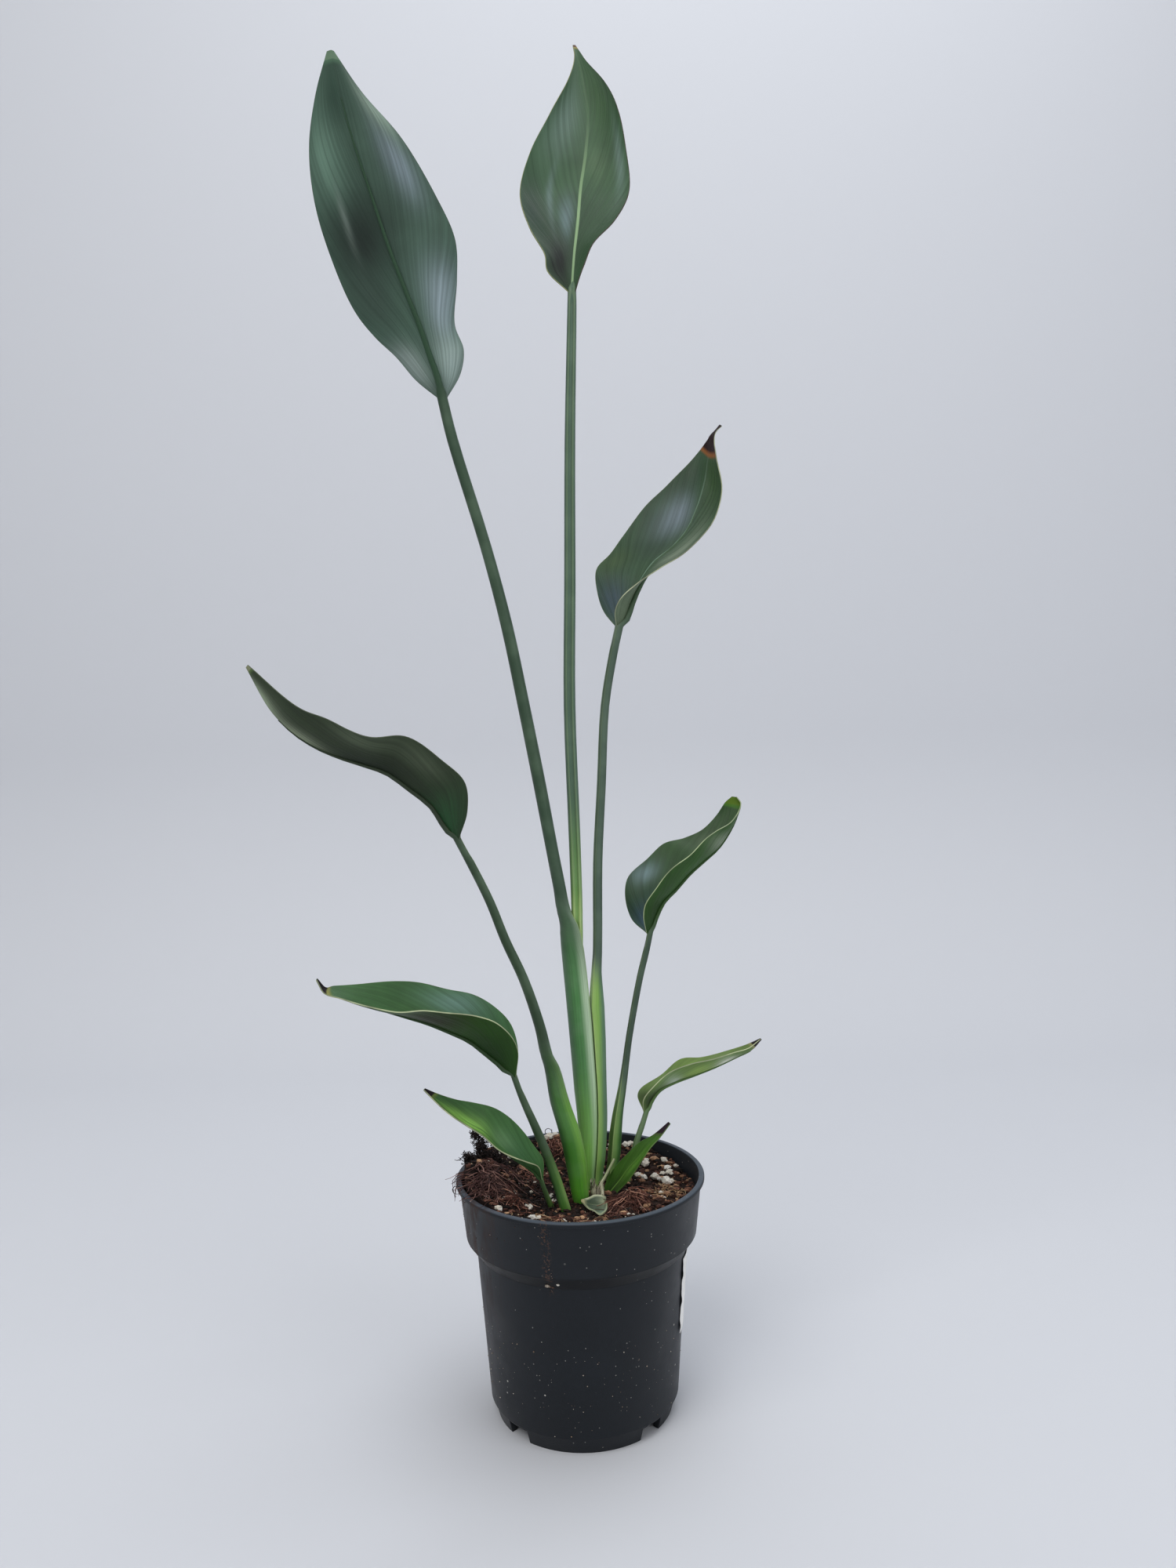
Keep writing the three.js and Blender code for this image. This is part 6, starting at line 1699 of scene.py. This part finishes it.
class PLANT_OT_dried_leaf(bpy.types.Operator):
    """Make the dried first leaf: its torn stub, its thin stalk and its curled blade"""
    bl_idname = "plant.dried_leaf"
    bl_label = "Dried first leaf"

    def execute(self, context):
        chance = random.Random(3)
        blade = build_blade(DRIED_BLADE, DRIED_LOOK, context.scene.plant_leaf)
        stub = tube_rows("torn_stub", STUB, STUB_SIDES)
        # The open top of the stub is torn into uneven strips
        points = points_of(stub) / MM
        strips = [chance.uniform(-4.5, 2.0) for _ in range(STUB_SIDES)]
        middle_x, middle_y = STUB[-1][:2]
        for point in points:
            turn = math.atan2(point[1] - middle_y, point[0] - middle_x) / (2 * math.pi)
            torn = max(0, point[2] - TEAR_FROM_Z) / TEAR_HEIGHT
            point[2] += torn * strips[int(STUB_SIDES * turn) % STUB_SIDES]
            point[:2] += torn * np.array([chance.uniform(-0.4, 0.4), chance.uniform(-0.4, 0.4)])
        shape(stub, points)
        finish_with(stub, "SOLIDIFY", thickness=0.5 * MM, offset=-1)
        stalk = tube_rows("dry_stalk", DRY_STALK, 16)
        fill_open_rings(stalk)
        for piece in (stub, stalk):
            piece.data.materials.append(stalk_material(piece.name, DRIED_LOOK, SOIL_LEVEL))
            smooth(piece, 50)
        join(blade, stub, stalk)
        blade.name = "dried_first_leaf_grown"
        adopt(blade, DRIED_LOOK["slot"], "dried_first_leaf")
        return {"FINISHED"}


class PLANT_OT_root_crown(bpy.types.Operator):
    """Give the root crown inside the soil its pale fleshy finish"""
    bl_idname = "plant.root_crown"
    bl_label = "Root crown"

    def execute(self, context):
        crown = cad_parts["root_crown"]
        crown.data.materials.clear()
        crown.data.materials.append(root_material())
        return {"FINISHED"}


class PLANT_OT_stage(bpy.types.Operator):
    """Set the pale floor and backdrop, the soft light and the camera"""
    bl_idname = "plant.stage"
    bl_label = "Stage"

    def execute(self, context):
        stage = context.scene.plant_stage
        self.floor(stage)
        for name, place, size, share, colour in LAMPS:
            self.light(name, place, size, share * stage.key_power, colour)
        world = bpy.data.worlds.new("soft_room")
        context.scene.world = world
        world.use_nodes = True
        drive(world.node_tree.nodes["Background"], Color=ROOM_COLOUR, Strength=ROOM_STRENGTH)
        camera = bpy.data.cameras.new("camera")
        camera.lens = stage.lens
        camera.sensor_width = 36
        camera.sensor_fit = "AUTO"
        camera.clip_start = 0.01
        holder = bpy.data.objects.new("camera", camera)
        context.scene.collection.objects.link(holder)
        holder.matrix_world = (Matrix.Translation(CAMERA_PLACE)
                               @ Matrix.Rotation(math.radians(90 - CAMERA_DIP), 4, "X")
                               @ Matrix.Rotation(math.radians(CAMERA_ROLL), 4, "Z"))
        context.scene.camera = holder
        context.scene.view_settings.view_transform = "Standard"
        return {"FINISHED"}

    def floor(self, stage):
        """A floor that sweeps up into a backdrop behind the plant."""
        deselect_all()
        bpy.ops.mesh.primitive_plane_add(size=1, location=(0, -1.0, 0), scale=(8, 4, 1))
        sweep = new_object("floor_sweep")
        place_mesh(sweep)
        points = points_of(sweep)
        points[:, 0] *= 8
        points[:, 1] = (points[:, 1] + 1) * 4 - 1.4
        move_vertices(sweep, points)
        edit(sweep, "DESELECT")
        bpy.ops.object.mode_set(mode="OBJECT")
        far = max(vertex.co.y for vertex in sweep.data.vertices)
        for edge in sweep.data.edges:
            edge.select = all(sweep.data.vertices[i].co.y > far - 1e-4 for i in edge.vertices)
        bpy.ops.object.mode_set(mode="EDIT")
        bpy.ops.mesh.select_mode(type="EDGE")
        moves = []
        for step in range(SWEEP_STEPS):
            start, end = (k / SWEEP_STEPS * math.pi / 2 for k in (step, step + 1))
            back, up = math.sin(end) - math.sin(start), math.cos(start) - math.cos(end)
            moves.append((0, SWEEP_RADIUS * back, SWEEP_RADIUS * up))
        for move in moves + [(0, 0, BACKDROP_RISE)]:
            bpy.ops.mesh.extrude_edges_move(TRANSFORM_OT_translate={"value": move})
        bpy.ops.object.mode_set(mode="OBJECT")
        smooth(sweep, 60)
        colour = tuple(stage.floor_colour) + (1.0,)
        sweep.data.materials.append(new_material("stage_paper", Roughness=0.9, Base_Color=colour)[0])

    def light(self, name, place, size, power, colour):
        """A round soft lamp that is turned toward the middle of the plant."""
        lamp = bpy.data.lights.new(name, "AREA")
        lamp.shape = "DISK"
        lamp.size = size
        lamp.energy = power
        lamp.color = colour
        holder = bpy.data.objects.new(name, lamp)
        bpy.context.scene.collection.objects.link(holder)
        holder.location = place
        toward = Vector(LAMPS_AIM) - Vector(place)
        holder.rotation_euler = toward.to_track_quat("-Z", "Y").to_euler()


OPERATORS = (PLANT_OT_pot, PLANT_OT_label, PLANT_OT_soil, PLANT_OT_crumbs, PLANT_OT_fibres, PLANT_OT_leaves,
             PLANT_OT_dried_leaf, PLANT_OT_root_crown, PLANT_OT_stage)
SETTINGS = {"plant_pot": PotSettings, "plant_soil": SoilSettings, "plant_leaf": LeafSettings,
            "plant_stage": StageSettings}


class PLANT_PT_panel(bpy.types.Panel):
    """Settings and build steps of the plant"""
    bl_idname = "PLANT_PT_panel"
    bl_label = "Potted Bird of Paradise"
    bl_space_type = "VIEW_3D"
    bl_region_type = "UI"
    bl_category = "Plant"

    def draw(self, context):
        for name, group in SETTINGS.items():
            box = self.layout.box()
            box.label(text=group.__doc__)
            for prop in group.__annotations__:
                box.prop(getattr(context.scene, name), prop)
        for operator in OPERATORS:
            self.layout.operator(operator.bl_idname)


def register():
    for group in SETTINGS.values():
        bpy.utils.register_class(group)
    for name, group in SETTINGS.items():
        setattr(bpy.types.Scene, name, PointerProperty(type=group))
    for operator in OPERATORS:
        bpy.utils.register_class(operator)
    bpy.utils.register_class(PLANT_PT_panel)


def unregister():
    bpy.utils.unregister_class(PLANT_PT_panel)
    for operator in reversed(OPERATORS):
        bpy.utils.unregister_class(operator)
    for name in SETTINGS:
        delattr(bpy.types.Scene, name)
    for group in SETTINGS.values():
        bpy.utils.unregister_class(group)


def main():
    register()
    bpy.ops.plant.stage()
    bpy.ops.plant.pot()
    bpy.ops.plant.label()
    bpy.ops.plant.soil()
    bpy.ops.plant.crumbs()
    bpy.ops.plant.fibres()
    bpy.ops.plant.leaves()
    bpy.ops.plant.dried_leaf()
    bpy.ops.plant.root_crown()
    deselect_all()


if __name__ == "__main__":
    main()
